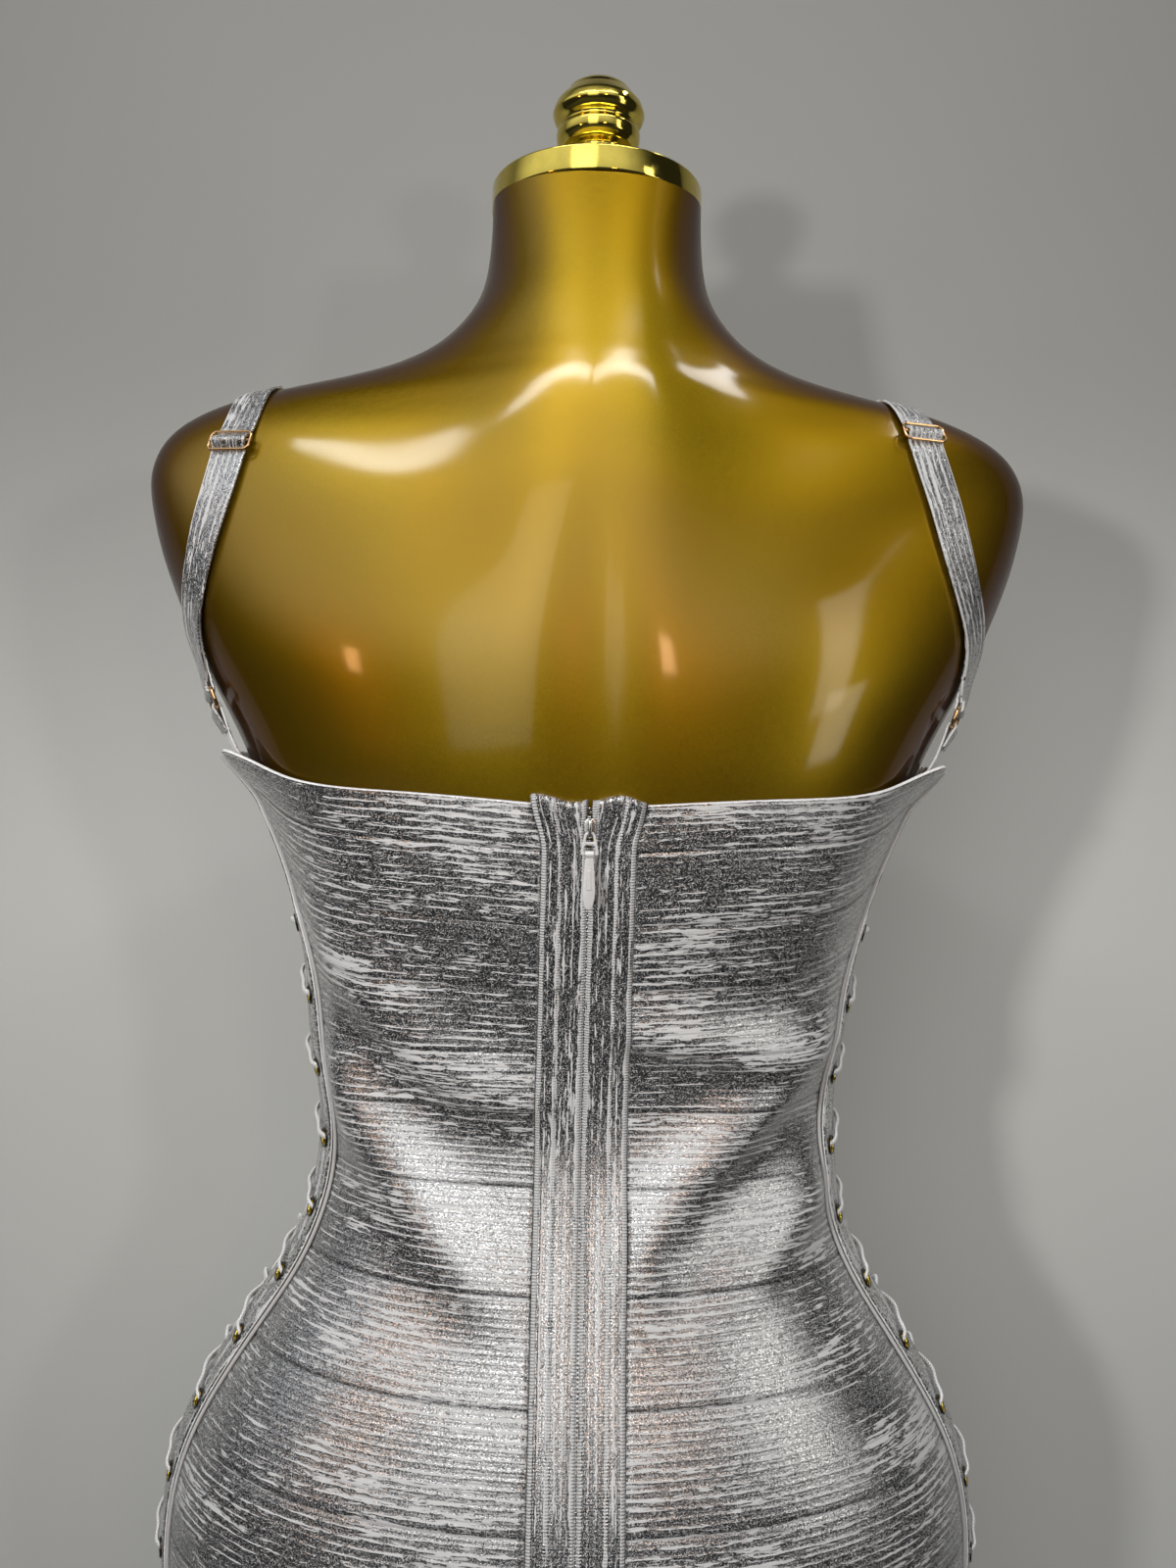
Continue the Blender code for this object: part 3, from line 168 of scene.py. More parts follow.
# The figure, one row for each level: height, half width, depth behind and before the side line,
# share of that depth kept by the shoulders beside the neck, and squareness of the section
FIGURE = (
    (0.560, 0.1570, 0.0940, 0.0900, 1.00, 0.03),
    (0.600, 0.1610, 0.0975, 0.0930, 1.00, 0.03),
    (0.650, 0.1670, 0.1020, 0.0960, 1.00, 0.03),
    (0.700, 0.1725, 0.1080, 0.0990, 1.00, 0.03),
    (0.750, 0.1780, 0.1150, 0.1025, 1.00, 0.03),
    (0.800, 0.1820, 0.1210, 0.1055, 1.00, 0.03),
    (0.840, 0.1825, 0.1225, 0.1070, 1.00, 0.03),
    (0.875, 0.1750, 0.1180, 0.1065, 1.00, 0.03),
    (0.905, 0.1595, 0.1100, 0.1045, 1.00, 0.03),
    (0.930, 0.1435, 0.1010, 0.1020, 1.00, 0.03),
    (0.955, 0.1285, 0.0915, 0.0990, 1.00, 0.03),
    (0.985, 0.1180, 0.0815, 0.0955, 1.00, 0.03),
    (1.015, 0.1155, 0.0750, 0.0935, 1.00, 0.03),
    (1.045, 0.1175, 0.0755, 0.0930, 1.00, 0.04),
    (1.080, 0.1225, 0.0820, 0.0950, 1.00, 0.05),
    (1.115, 0.1300, 0.0905, 0.0975, 1.00, 0.06),
    (1.145, 0.1405, 0.0965, 0.0995, 1.00, 0.07),
    (1.170, 0.1520, 0.0995, 0.1000, 1.00, 0.07),
    (1.195, 0.1640, 0.1010, 0.0990, 0.97, 0.07),
    (1.220, 0.1775, 0.1010, 0.0970, 0.93, 0.07),
    (1.245, 0.1890, 0.0995, 0.0940, 0.88, 0.07),
    (1.270, 0.1990, 0.0965, 0.0895, 0.83, 0.06),
    (1.292, 0.2050, 0.0925, 0.0845, 0.79, 0.06),
    (1.310, 0.2070, 0.0880, 0.0790, 0.75, 0.05),
    (1.325, 0.2020, 0.0838, 0.0745, 0.71, 0.04),
    (1.336, 0.1905, 0.0804, 0.0710, 0.67, 0.03),
    (1.3445, 0.1725, 0.0775, 0.0685, 0.64, 0.02),
    (1.3510, 0.1500, 0.0751, 0.0665, 0.62, 0.00),
    (1.3565, 0.1250, 0.0730, 0.0645, 0.62, 0.00),
    (1.3635, 0.0990, 0.07025, 0.0620, 0.65, 0.00),
    (1.3735, 0.0770, 0.06633, 0.0600, 0.74, 0.00),
    (1.387, 0.0620, 0.06104, 0.0595, 0.87, 0.00),
    (1.403, 0.0535, 0.05477, 0.0600, 0.96, 0.00),
    (1.424, 0.0502, 0.04656, 0.0610, 1.00, 0.00),
    (1.446, 0.0495, 0.0380, 0.0615, 1.00, 0.00),
)
NECK_ROOT_WIDTH = 0.058

# Half of the open gap between the two eyelet bands: height, half gap
LACING_GAP = (
    (0.560, 0.0150),
    (0.700, 0.0165),
    (0.830, 0.0170),
    (0.930, 0.0140),
    (1.015, 0.0105),
    (1.070, 0.0085),
    (1.095, 0.0060),
    (1.114, 0.0010),
    (1.120, 0.0002),
    (1.240, 0.0002),
)

# Height of the neckline above BACK_TOP or FRONT_TOP, by share of the way from the side line
BACK_EDGE = (
    (0.00, 0.019),
    (0.06, 0.020),
    (0.15, 0.013),
    (0.27, 0.006),
    (0.45, 0.002),
    (0.70, 0.000),
    (1.00, -0.003),
)
FRONT_EDGE = (
    (0.00, -0.029),
    (0.12, -0.024),
    (0.30, -0.004),
    (0.48, 0.019),
    (0.60, 0.021),
    (0.80, 0.007),
    (1.00, -0.006),
)

# Soft mounds, or hollows where the reach is negative: half spacing, level, reach, width, height
BUST = (0.080, 1.163, 0.033, 0.052, 0.048)
CLOTH_BUST = (0.080, 1.163, 0.034, 0.066, 0.056)
BLADES = (0.090, 1.245, 0.005, 0.050, 0.050)
SPINE = (0.000, 1.250, -0.003, 0.018, 0.110)

# Share of the bust's reach that bridges its middle, on the form and on the cloth
FORM_BRIDGE = 0.50
CLOTH_BRIDGE = 0.96

# Flare of the back's top edge beside the side lacing
FLARE_REACH = 9 * MM
FLARE_AROUND = 0.030
FLARE_SPREAD = 0.022
FLARE_HEIGHTS = (BACK_TOP - 6 * MM, BACK_TOP + 26 * MM)

# Ridges of the cloth over the hollow of the waist: side, points (across, height, rise),
# and the half widths of the upper and lower flanks
BACK_FOLDS = (
    (+1, ((0.118, 1.108, 0.0030), (0.098, 1.088, 0.0045), (0.080, 1.070, 0.0055),
          (0.062, 1.053, 0.0060), (0.042, 1.041, 0.0058), (0.022, 1.038, 0.0040),
          (0.004, 1.040, 0.0008)), 0.0200, 0.0105),
    (+1, ((0.134, 1.070, 0.0090), (0.113, 1.050, 0.0110), (0.096, 1.030, 0.0105),
          (0.079, 1.008, 0.0090), (0.061, 0.985, 0.0070), (0.040, 0.964, 0.0040),
          (0.020, 0.952, 0.0008)), 0.0180, 0.0150),
    (-1, ((0.125, 1.066, 0.0030), (0.100, 1.059, 0.0045), (0.075, 1.058, 0.0055),
          (0.046, 1.062, 0.0055), (0.021, 1.069, 0.0040), (0.004, 1.073, 0.0008)), 0.0140, 0.0085),
    (-1, ((0.110, 1.058, 0.0030), (0.090, 1.045, 0.0065), (0.069, 1.028, 0.0085),
          (0.053, 1.011, 0.0085), (0.040, 0.998, 0.0075), (0.029, 0.977, 0.0050),
          (0.024, 0.955, 0.0015)), 0.0185, 0.0100),
    (-1, ((0.128, 1.016, 0.0045), (0.108, 0.998, 0.0065), (0.090, 0.982, 0.0060),
          (0.070, 0.964, 0.0030), (0.056, 0.952, 0.0008)), 0.0150, 0.0120),
)  # fmt: skip
FRONT_FOLDS = (
    (+1, ((0.122, 1.060, 0.0010), (0.095, 1.040, 0.0028), (0.060, 1.028, 0.0034),
          (0.020, 1.034, 0.0012)), 0.0140, 0.0120),
    (+1, ((0.116, 1.010, 0.0008), (0.090, 0.992, 0.0024), (0.060, 0.978, 0.0014)), 0.0130, 0.0110),
    (-1, ((0.124, 1.046, 0.0010), (0.096, 1.024, 0.0030), (0.060, 1.012, 0.0036),
          (0.024, 1.016, 0.0014)), 0.0140, 0.0120),
)  # fmt: skip

# The share of a fold's rise that is left at the side lacing, and where the rest of it comes in
FOLD_SHARE_BY_LACING = 0.25
FOLD_START = (0.030, 0.052)

# Bed of the left strap over the shoulder: height, distance across, 1 behind, 0 on or -1 in front of
# the shoulder's ridge, lift off the form, shift to the middle on the right
STRAP_BED = (
    (1.1680, 0.1465, 1, 0.0012, 0.000),
    (1.1850, 0.1545, 1, 0.0045, 0.000),
    (1.2000, 0.1615, 1, 0.0036, 0.000),
    (1.2150, 0.1695, 1, 0.0018, 0.001),
    (1.2360, 0.1755, 1, 0.0010, 0.004),
    (1.2560, 0.1735, 1, 0.0005, 0.007),
    (1.2780, 0.1680, 1, 0.0005, 0.009),
    (1.2980, 0.1625, 1, 0.0005, 0.009),
    (1.3180, 0.1585, 1, 0.0005, 0.010),
    (1.3330, 0.1558, 1, 0.0007, 0.010),
    (1.3450, 0.1540, 1, 0.0010, 0.011),
    (1.3515, 0.1530, 0, 0.0014, 0.011),
    (1.3450, 0.1525, -1, 0.0020, 0.010),
    (1.3330, 0.1510, -1, 0.0007, 0.008),
    (1.3180, 0.1470, -1, 0.0005, 0.006),
    (1.2980, 0.1400, -1, 0.0005, 0.004),
    (1.2780, 0.1310, -1, 0.0010, 0.002),
    (1.2580, 0.1210, -1, 0.0024, 0.001),
    (1.2400, 0.1125, -1, 0.0050, 0.000),
    (1.2240, 0.1060, -1, 0.0060, 0.000),
)


# ---------------------------------------------------------------- the figure and the cloth on it


def smoothed(rows, steps=24):
    """Rows of a table run through a natural cubic spline, with this many steps to a gap."""
    values = np.array(rows, float)
    count = len(values)
    system = np.eye(count)
    bends = np.zeros_like(values)
    for i in range(1, count - 1):
        system[i, i - 1 : i + 2] = (1, 4, 1)
        bends[i] = 6 * (values[i - 1] - 2 * values[i] + values[i + 1])
    second = np.linalg.solve(system, bends)
    along = np.linspace(0, count - 1, (count - 1) * steps + 1)
    low = np.minimum(along.astype(int), count - 2)
    share = (along - low)[:, None]
    rest = 1 - share
    return (
        (second[low] * (rest**3 - rest) + second[low + 1] * (share**3 - share)) / 6
        + values[low] * rest
        + values[low + 1] * share
    )


FIGURE_LEVELS = smoothed(FIGURE)


def read_table(rows, where):
    """Second column of a two-column table at values of its first, with rounded corners."""
    table = smoothed(rows, 12)
    return np.interp(where, table[:, 0], table[:, 1])


def ease(value, low, high):
    """0 below low, 1 above high, and smooth between them."""
    share = np.clip((value - low) / (high - low), 0, 1)
    return share * share * (3 - 2 * share)


def bell(value):
    """1 at zero, and falling smoothly to nothing on both sides."""
    return np.exp(-(value**2))


def run_lengths(points):
    """Distance along a line of points to each of them."""
    return np.concatenate([[0], np.cumsum(np.linalg.norm(np.diff(points, axis=0), axis=1))])


def mound(spread, across, height, bridge=0.0):
    """Height of a soft mound, mirrored about the middle and bridged to its twin by a share."""
    spacing, level, reach, wide, tall = spread
    away = (np.abs(across) - spacing) / wide
    share = bell(away)
    share = np.where(away < 0, bridge + (1 - bridge) * share, share)
    return reach * share * bell((height - level) / tall)


def figure(height, turn):
    """Points of the left half of the figure: turn is 0 at the side, +90 degrees at the centre back."""
    half_width, back, front, wing, square = (
        np.interp(height, FIGURE_LEVELS[:, 0], FIGURE_LEVELS[:, i]) for i in range(1, 6)
    )
    cosine, sine = np.cos(turn), np.sin(turn)
    across = half_width * cosine * (1 + square * sine * sine)
    neck_share = wing + (1 - wing) * bell(across / NECK_ROOT_WIDTH)
    behind = sine > 0
    y = np.where(behind, back, front) * neck_share * sine * (1 + square * cosine * cosine)
    back_mounds = mound(BLADES, across, height) + mound(SPINE, across, height)
    bust = mound(BUST, across, height, FORM_BRIDGE)
    y = y + sine * sine * np.where(behind, back_mounds, -bust)
    return np.stack(np.broadcast_arrays(across, y, height), axis=-1)


def unit(vectors):
    """Vectors brought to length 1."""
    return vectors / np.linalg.norm(vectors, axis=-1, keepdims=True)


def figure_normal(height, turn):
    """Outward normals of the left half of the figure."""
    small, round_step = 1e-4, 2e-3
    up = figure(height + small, turn) - figure(height - small, turn)
    round_way = figure(height, turn + round_step) - figure(height, turn - round_step)
    return unit(np.cross(round_way, up))


LEVEL_STEP = 2.5 * MM
LEVELS = np.arange(0.5525, 1.4600, LEVEL_STEP)
SHARE_COUNT = 240


def round_tables():
    """Turn by level and by share of the way round, and each level's way to the back and the front."""
    turns = np.radians(np.linspace(-90, 90, 181))
    grid = figure(LEVELS[:, None], turns[None, :])
    steps = np.linalg.norm(np.diff(grid, axis=1), axis=2)
    along = np.concatenate([np.zeros((len(LEVELS), 1)), np.cumsum(steps, axis=1)], axis=1)
    along -= along[:, [len(turns) // 2]]
    shares = np.linspace(-1, 1, SHARE_COUNT + 1)
    table = [
        np.interp(np.where(shares > 0, shares * row[-1], -shares * row[0]), row, turns)
        for row in along
    ]
    return np.array(table), along[:, -1], -along[:, 0]


TURN_TABLE, BACK_GIRTH, FRONT_GIRTH = round_tables()


def back_girth(height):
    """Distance from the side line to the centre back."""
    return np.interp(height, LEVELS, BACK_GIRTH)


def front_girth(height):
    """Distance from the side line to the centre front."""
    return np.interp(height, LEVELS, FRONT_GIRTH)


def turn_at(height, around):
    """Turn of the points this far round from the side line, towards the back if positive."""
    half = np.where(around > 0, back_girth(height), front_girth(height))
    column = (np.clip(around / half, -1, 1) + 1) / 2 * SHARE_COUNT
    row = np.clip((height - LEVELS[0]) / LEVEL_STEP, 0, len(LEVELS) - 1.001)
    low_row, low_column = row.astype(int), np.minimum(column.astype(int), SHARE_COUNT - 1)
    up, on = row - low_row, column - low_column
    below, above = (
        TURN_TABLE[level, low_column] * (1 - on) + TURN_TABLE[level, low_column + 1] * on
        for level in (low_row, low_row + 1)
    )
    return below * (1 - up) + above * up


def fold_rise(folds, across, height, side):
    """How far the folds of one side lift the cloth."""
    rise = np.zeros(np.broadcast(across, height).shape)
    here = np.stack(np.broadcast_arrays(across, height), axis=-1)
    for fold_side, points, upper, lower in folds:
        if fold_side != side:
            continue
        nearest = np.full(rise.shape, 1e9)
        tall, above = np.zeros(rise.shape), np.zeros(rise.shape)
        ridge = smoothed(points, 4)
        for start, end in zip(ridge, ridge[1:]):
            step = end[:2] - start[:2]
            share = np.clip((here - start[:2]) @ step / (step @ step), 0, 1)
            offset = here - start[:2] - share[..., None] * step
            distance = np.linalg.norm(offset, axis=-1) + 1e-6
            closer = distance < nearest
            tall = np.where(closer, start[2] + (end[2] - start[2]) * share, tall)
            above = np.where(closer, 0.5 + 0.5 * offset[..., 1] / distance, above)
            nearest = np.minimum(distance, nearest)
        half_width = lower + (upper - lower) * above
        rise += tall * bell(nearest / half_width)
    return rise


def cloth(height, around, lift, side=1):
    """Points of the dress: lift is measured from the form, and folds and flare come on top."""
    height, around = np.broadcast_arrays(np.asarray(height, float), np.asarray(around, float))
    turn = turn_at(height, around)
    place, normal = figure(height, turn), figure_normal(height, turn)
    across = place[..., 0]
    spread = bell((around - FLARE_AROUND) / FLARE_SPREAD)
    lift = lift + FLARE_REACH * spread * ease(height, *FLARE_HEIGHTS)
    fold_share = FOLD_SHARE_BY_LACING + (1 - FOLD_SHARE_BY_LACING) * ease(around, *FOLD_START)
    drawn = mound(CLOTH_BUST, across, height, CLOTH_BRIDGE) - mound(BUST, across, height, FORM_BRIDGE)
    lift = lift + np.where(
        around > 0,
        fold_rise(BACK_FOLDS, across, height, side) * fold_share,
        fold_rise(FRONT_FOLDS, across, height, side) + drawn * np.sin(turn) ** 2,
    )
    return (place + normal * lift[..., None]) * (side, 1, 1)


def gap_half(height):
    """Half of the open gap of the side lacing."""
    return read_table(LACING_GAP, height)


def piping_line(height):
    """Distance from the side line to the middle of the piping."""
    return gap_half(height) + EYELET_BAND_WIDTH + PIPING_SEAM + PIPING_DIAMETER / 2


def panel_start(height):
    """Distance from the side line to the edge of the front or back panel."""
    return piping_line(height) + PIPING_DIAMETER / 2 + PIPING_SEAM


def zip_band_edge(height):
    """Distance from the side line to the back panel's edge beside the zip band."""
    wider = TOP_WIDENING * ease(height, WIDENING_FOOT, BACK_TOP)
    return back_girth(height) - (ZIP_OPENING / 2 + ZIP_BAND_WIDTH + SEAM + wider)


def zip_band_spread(height):
    """How far the folded top end of the zip band stands off."""
    return TOP_STAND_OFF * ease(height, STAND_OFF_FOOT, BACK_TOP)


# ---------------------------------------------------------------- materials


def connect(tree, node, inputs):
    """Puts values or other nodes' outputs on a node's inputs, by name or number."""
    for key, value in inputs.items():
        if isinstance(value, bpy.types.NodeSocket):
            tree.links.new(value, node.inputs[key])
        else:
            node.inputs[key].default_value = value


def add(tree, kind, inputs=None, **settings):
    """New node with its settings and its inputs."""
    node = tree.nodes.new(kind)
    for key, value in settings.items():
        setattr(node, key, value)
    connect(tree, node, inputs or {})
    return node


def math_node(tree, operation, first, second=0.0, third=0.0):
    """Output of a Math node."""
    return add(tree, "ShaderNodeMath", {0: first, 1: second, 2: third}, operation=operation).outputs[0]


def times(tree, first, *others):
    """Output of a product."""
    for other in others:
        first = math_node(tree, "MULTIPLY", first, other)
    return first


def rest_of(tree, share):
    """Output of what a share leaves of 1."""
    return math_node(tree, "SUBTRACT", 1.0, share)


def weighted(tree, *terms):
    """Output of a sum of values, each with its weight."""
    total = 0.0
    for value, weight in terms:
        total = math_node(tree, "MULTIPLY_ADD", value, weight, total)
    return total


def blend_range(tree, value, low, high, out_low=0.0, out_high=1.0):
    """Output of a smooth Map Range."""
    inputs = {"Value": value, 1: low, 2: high, 3: out_low, 4: out_high}
    return add(tree, "ShaderNodeMapRange", inputs, interpolation_type="SMOOTHSTEP").outputs[0]


def mixed(tree, share, first, second):
    """Output of a colour mix."""
    return add(tree, "ShaderNodeMix", {0: share, 6: first, 7: second}, data_type="RGBA").outputs[2]


def grey(value, warmth=0.0):
    """Grey with a little warmth or, below zero, coolness."""
    return (value * (1 + warmth), value, value * (1 - warmth), 1)


def weave_map(tree):
    """The piece's own UV, along and across its streaks."""
    return add(tree, "ShaderNodeUVMap", uv_map="weave").outputs[0]


def stretched(tree, vector, along, across, shift=0.0):
    """Vector scaled along and across a streak's direction."""
    inputs = {"Vector": vector, "Scale": (along, across, 1), "Location": (shift, shift * 0.7, 0)}
    return add(tree, "ShaderNodeMapping", inputs).outputs[0]


def flat_noise(tree, vector, detail=2.0, roughness=0.5):
    """Value of a 2D noise."""
    inputs = {"Vector": vector, "Scale": 1.0, "Detail": detail, "Roughness": roughness}
    return add(tree, "ShaderNodeTexNoise", inputs, noise_dimensions="2D").outputs[0]


def solid_noise(tree, place, scale, detail):
    """Value of a 3D noise."""
    return add(tree, "ShaderNodeTexNoise", {"Vector": place, "Scale": scale, "Detail": detail}).outputs[0]


def foil_print_group():
    """Silver foil on light yarn, streaked along the ribs: colour, metal, roughness and height."""
    tree = bpy.data.node_groups.new("foil_print", "ShaderNodeTree")
    face = tree.interface
    face.new_socket("Weave", in_out="INPUT", socket_type="NodeSocketVector")
    for name, value in (("Cover", 0.5), ("Seam", 0.0), ("Welt", 0.0), ("Rib Depth", 1.0)):
        face.new_socket(name, in_out="INPUT", socket_type="NodeSocketFloat").default_value = value
    face.new_socket("Color", in_out="OUTPUT", socket_type="NodeSocketColor")
    for name in ("Foil", "Roughness", "Height"):
        face.new_socket(name, in_out="OUTPUT", socket_type="NodeSocketFloat")
    given = add(tree, "NodeGroupInput").outputs
    weave, welt = given["Weave"], given["Welt"]
    apart = add(tree, "ShaderNodeSeparateXYZ", {0: weave}).outputs

    # Ribs: a rounded ridge with finer ridges on it, and the cross-grain of the knit
    rib_turn = times(tree, apart[1], math.tau / RIB_PITCH)
    crest = math_node(tree, "COSINE", rib_turn)
    fine_rib = math_node(tree, "COSINE", times(tree, rib_turn, 2.0))
    wale = math_node(tree, "SINE", times(tree, apart[0], math.tau / WALE_PITCH))

    # Streaks: bare yarn in ragged dashes, long along the ribs and thin across them, most on the crests
    wander = flat_noise(tree, stretched(tree, weave, 60, 140, 3.1), 2.0)
    lean = times(tree, math_node(tree, "SUBTRACT", wander, 0.5), STREAK_WANDER)
    lifted = add(tree, "ShaderNodeCombineXYZ", {"Y": lean}).outputs[0]
    bent = add(tree, "ShaderNodeVectorMath", {0: weave, 1: lifted}, operation="ADD").outputs[0]
    long_dashes = flat_noise(tree, stretched(tree, bent, 34, 520), 3.0, 0.62)
    short_dashes = flat_noise(tree, stretched(tree, bent, 150, 1000, 7.7), 2.0, 0.6)
    patches = flat_noise(tree, stretched(tree, weave, 13, 40, 1.3), 2.0, 0.5)
    grain = flat_noise(tree, stretched(tree, weave, 1900, 2400, 5.5), 2.0, 0.7)
    glitter = flat_noise(tree, stretched(tree, weave, 2500, 2900, 9.1), 1.0, 0.6)
    main_crest = blend_range(tree, crest, 0.45, 1.0)
    on_crest = math_node(tree, "ADD", main_crest, blend_range(tree, fine_rib, 0.6, 1.0, 0, 0.4))
    level = weighted(
        tree, (long_dashes, 0.50), (short_dashes, 0.38), (patches, 0.34), (grain, 0.07),
        (on_crest, -0.080), (welt, -0.22),
    )  # fmt: skip
    level = math_node(tree, "ADD", level, math_node(tree, "SUBTRACT", given["Cover"], 1.12))
    foil = blend_range(tree, level, -0.010, 0.010)

    # Colour: bright and dull flakes of foil, with the odd worn one, over light yarn, darkened in the grooves
    # by painted shade
    place = stretched(tree, weave, 3300, 3900, 2.2)
    flakes = add(tree, "ShaderNodeTexVoronoi", {"Vector": place, "Scale": 1.0}, voronoi_dimensions="2D")
    flake = add(tree, "ShaderNodeSeparateColor", {0: flakes.outputs["Color"]}).outputs
    bright = math_node(tree, "POWER", flake[0], 1.4)
    metal = times(tree, foil, rest_of(tree, blend_range(tree, flake[1], 0.86, 0.90)))
    silver = mixed(tree, bright, grey(0.09), grey(1.0, -0.01))
    yarn = mixed(tree, grain, grey(0.34, -0.008), grey(0.56, -0.008))
    printed = mixed(tree, metal, yarn, silver)
    # Painted shade: the colour is darker in the rib troughs, in the seam grooves and between the raised
    # ladder lines of the welts
    line = blend_range(tree, crest, -1.0, -0.7, 0.72, 1.0)
    seam_shade = rest_of(tree, times(tree, given["Seam"], 0.45))
    shade_between_rungs = times(tree, welt, blend_range(tree, wale, -0.9, 0.1, 0.45, 0.0))
    painted_groove_shade = times(tree, line, seam_shade, rest_of(tree, shade_between_rungs))
    tinted = add(tree, "ShaderNodeVectorMath", {0: printed, 1: painted_groove_shade}, operation="MULTIPLY").outputs[0]

    rough = math_node(tree, "ADD", 0.66, weighted(tree, (grain, 0.20), (metal, -0.50)))
    rung_depth = math_node(tree, "MULTIPLY_ADD", welt, 0.10 * MM, 0.006 * MM)
    ribbed = weighted(tree, (crest, 0.036 * MM), (fine_rib, 0.018 * MM))
    relief = times(tree, math_node(tree, "MULTIPLY_ADD", wale, rung_depth, ribbed), given["Rib Depth"])
    fine = weighted(tree, (grain, 0.045 * MM), (glitter, 0.065 * MM), (foil, 0.02 * MM))
    height = math_node(tree, "ADD", relief, fine)
    results = {"Color": tinted, "Foil": metal, "Roughness": rough, "Height": height}
    connect(tree, add(tree, "NodeGroupOutput"), results)
    return tree


def new_material(name):
    """Material with its node tree and its Principled shader."""
    material = bpy.data.materials.new(name)
    material.use_nodes = True
    return material, material.node_tree, material.node_tree.nodes["Principled BSDF"]


def set_looks(tree, shader, inputs, height):
    """Sets the shader's inputs and its bumps, from a height in metres."""
    bump = add(tree, "ShaderNodeBump", {"Height": height, "Strength": 1.0, "Distance": 1.0})
    connect(tree, shader, {**inputs, "Normal": bump.outputs[0]})


def foil_material(name, cover, rib_depth=1.0, marks=()):
    """Foil-printed knit, with the values that a piece's points keep under the names in marks."""
    material, tree, shader = new_material(name)
    group = bpy.data.node_groups.get("foil_print") or foil_print_group()
    inputs = {"Weave": weave_map(tree), "Cover": cover, "Rib Depth": rib_depth}
    for mark in marks:
        inputs[mark.capitalize()] = add(tree, "ShaderNodeAttribute", attribute_name=mark).outputs["Fac"]
    foil = add(tree, "ShaderNodeGroup", inputs, node_tree=group).outputs
    looks = {"Base Color": foil["Color"], "Metallic": foil["Foil"], "Roughness": foil["Roughness"]}
    set_looks(tree, shader, looks, foil["Height"])
    return material


def plain_knit(name, low, high):
    """Smooth unfoiled knit of the pipings, the cut edges and the reverse of the straps."""
    material, tree, shader = new_material(name)
    thread = flat_noise(tree, stretched(tree, weave_map(tree), 900, 2600), 2.0, 0.6)
    looks = {"Base Color": mixed(tree, thread, grey(low), grey(high)), "Roughness": 0.7, "Sheen Weight": 0.15}
    set_looks(tree, shader, looks, times(tree, thread, 0.12 * MM))
    return material


def lace_braid():
    """White braid with silver threads: crossing diagonals from the piece's own UV."""
    material, tree, shader = new_material("lace_braid")
    apart = add(tree, "ShaderNodeSeparateXYZ", {0: weave_map(tree)}).outputs
    along = times(tree, apart[0], math.tau / BRAID_PITCH)
    round_way = times(tree, apart[1], math.tau * BRAID_STARTS)
    rising = math_node(tree, "SINE", math_node(tree, "ADD", along, round_way))
    falling = math_node(tree, "SINE", math_node(tree, "SUBTRACT", along, round_way))
    strands = math_node(tree, "MAXIMUM", rising, falling)
    looks = {
        # Painted shade: the braid's colour is darker between its strands, where its relief dips
        "Base Color": mixed(tree, blend_range(tree, strands, -0.3, 0.9), grey(0.44), grey(0.84)),
        "Metallic": blend_range(tree, strands, 0.4, 1.0, 0.0, 0.55),
        "Roughness": 0.42,
    }
    set_looks(tree, shader, looks, times(tree, strands, 0.12 * MM))
    return material


def gold_paint():
    """Metallic gold paint under a glossy clear coat, with fine flakes and faint orange peel."""
    material, tree, shader = new_material("gold_paint")
    place = add(tree, "ShaderNodeTexCoord").outputs["Object"]
    flakes = solid_noise(tree, place, 1500.0, 2.0)
    cloudy = solid_noise(tree, place, 9.0, 3.0)
    peel = solid_noise(tree, place, 260.0, 1.0)
    gold = mixed(tree, flakes, (0.190, 0.119, 0.003, 1), (0.325, 0.215, 0.009, 1))
    warm = mixed(tree, blend_range(tree, cloudy, 0.35, 0.7), gold, (0.285, 0.168, 0.004, 1))
    # Painted shade on the rims: the base colour turns dark brown where the surface is seen at a slant, partly
    # the metallic paint's own darkening there and partly shade
    glancing = add(tree, "ShaderNodeLayerWeight", {"Blend": 0.5}).outputs["Facing"]
    rim_shade = blend_range(tree, glancing, 0.28, 0.80, 0.0, 0.92)
    looks = {
        "Base Color": mixed(tree, rim_shade, warm, (0.115, 0.045, 0.001, 1)),
        "Metallic": 0.94,
        "Roughness": blend_range(tree, flakes, 0.3, 0.7, 0.34, 0.44),
        "Specular Tint": (0.22, 0.11, 0.02, 1),
        "Coat Weight": 0.62,
        "Coat Roughness": 0.095,
    }
    set_looks(tree, shader, looks, times(tree, peel, 0.045 * MM))
    return material


def plated(name, colour, roughness):
    """Polished plated metal with faint unevenness."""
    material, tree, shader = new_material(name)
    wear = solid_noise(tree, add(tree, "ShaderNodeTexCoord").outputs["Object"], 160.0, 4.0)
    worn = blend_range(tree, wear, 0.45, 0.75, 0.0, 0.35)
    looks = {
        "Base Color": mixed(tree, worn, (*colour, 1), (*[0.7 * c for c in colour], 1)),
        "Metallic": 1.0,
        "Roughness": blend_range(tree, wear, 0.3, 0.8, roughness, roughness + 0.12),
    }
    set_looks(tree, shader, looks, times(tree, wear, 0.02 * MM))
    return material


def enamel():
    """Silvery white enamel of the zip's pull."""
    material, tree, shader = new_material("zip_enamel")
    wear = solid_noise(tree, add(tree, "ShaderNodeTexCoord").outputs["Object"], 900.0, 3.0)
    colour = mixed(tree, wear, grey(0.50), grey(0.62))
    looks = {"Base Color": colour, "Metallic": 0.35, "Roughness": 0.30, "Coat Weight": 0.4}
    connect(tree, shader, looks)
    return material


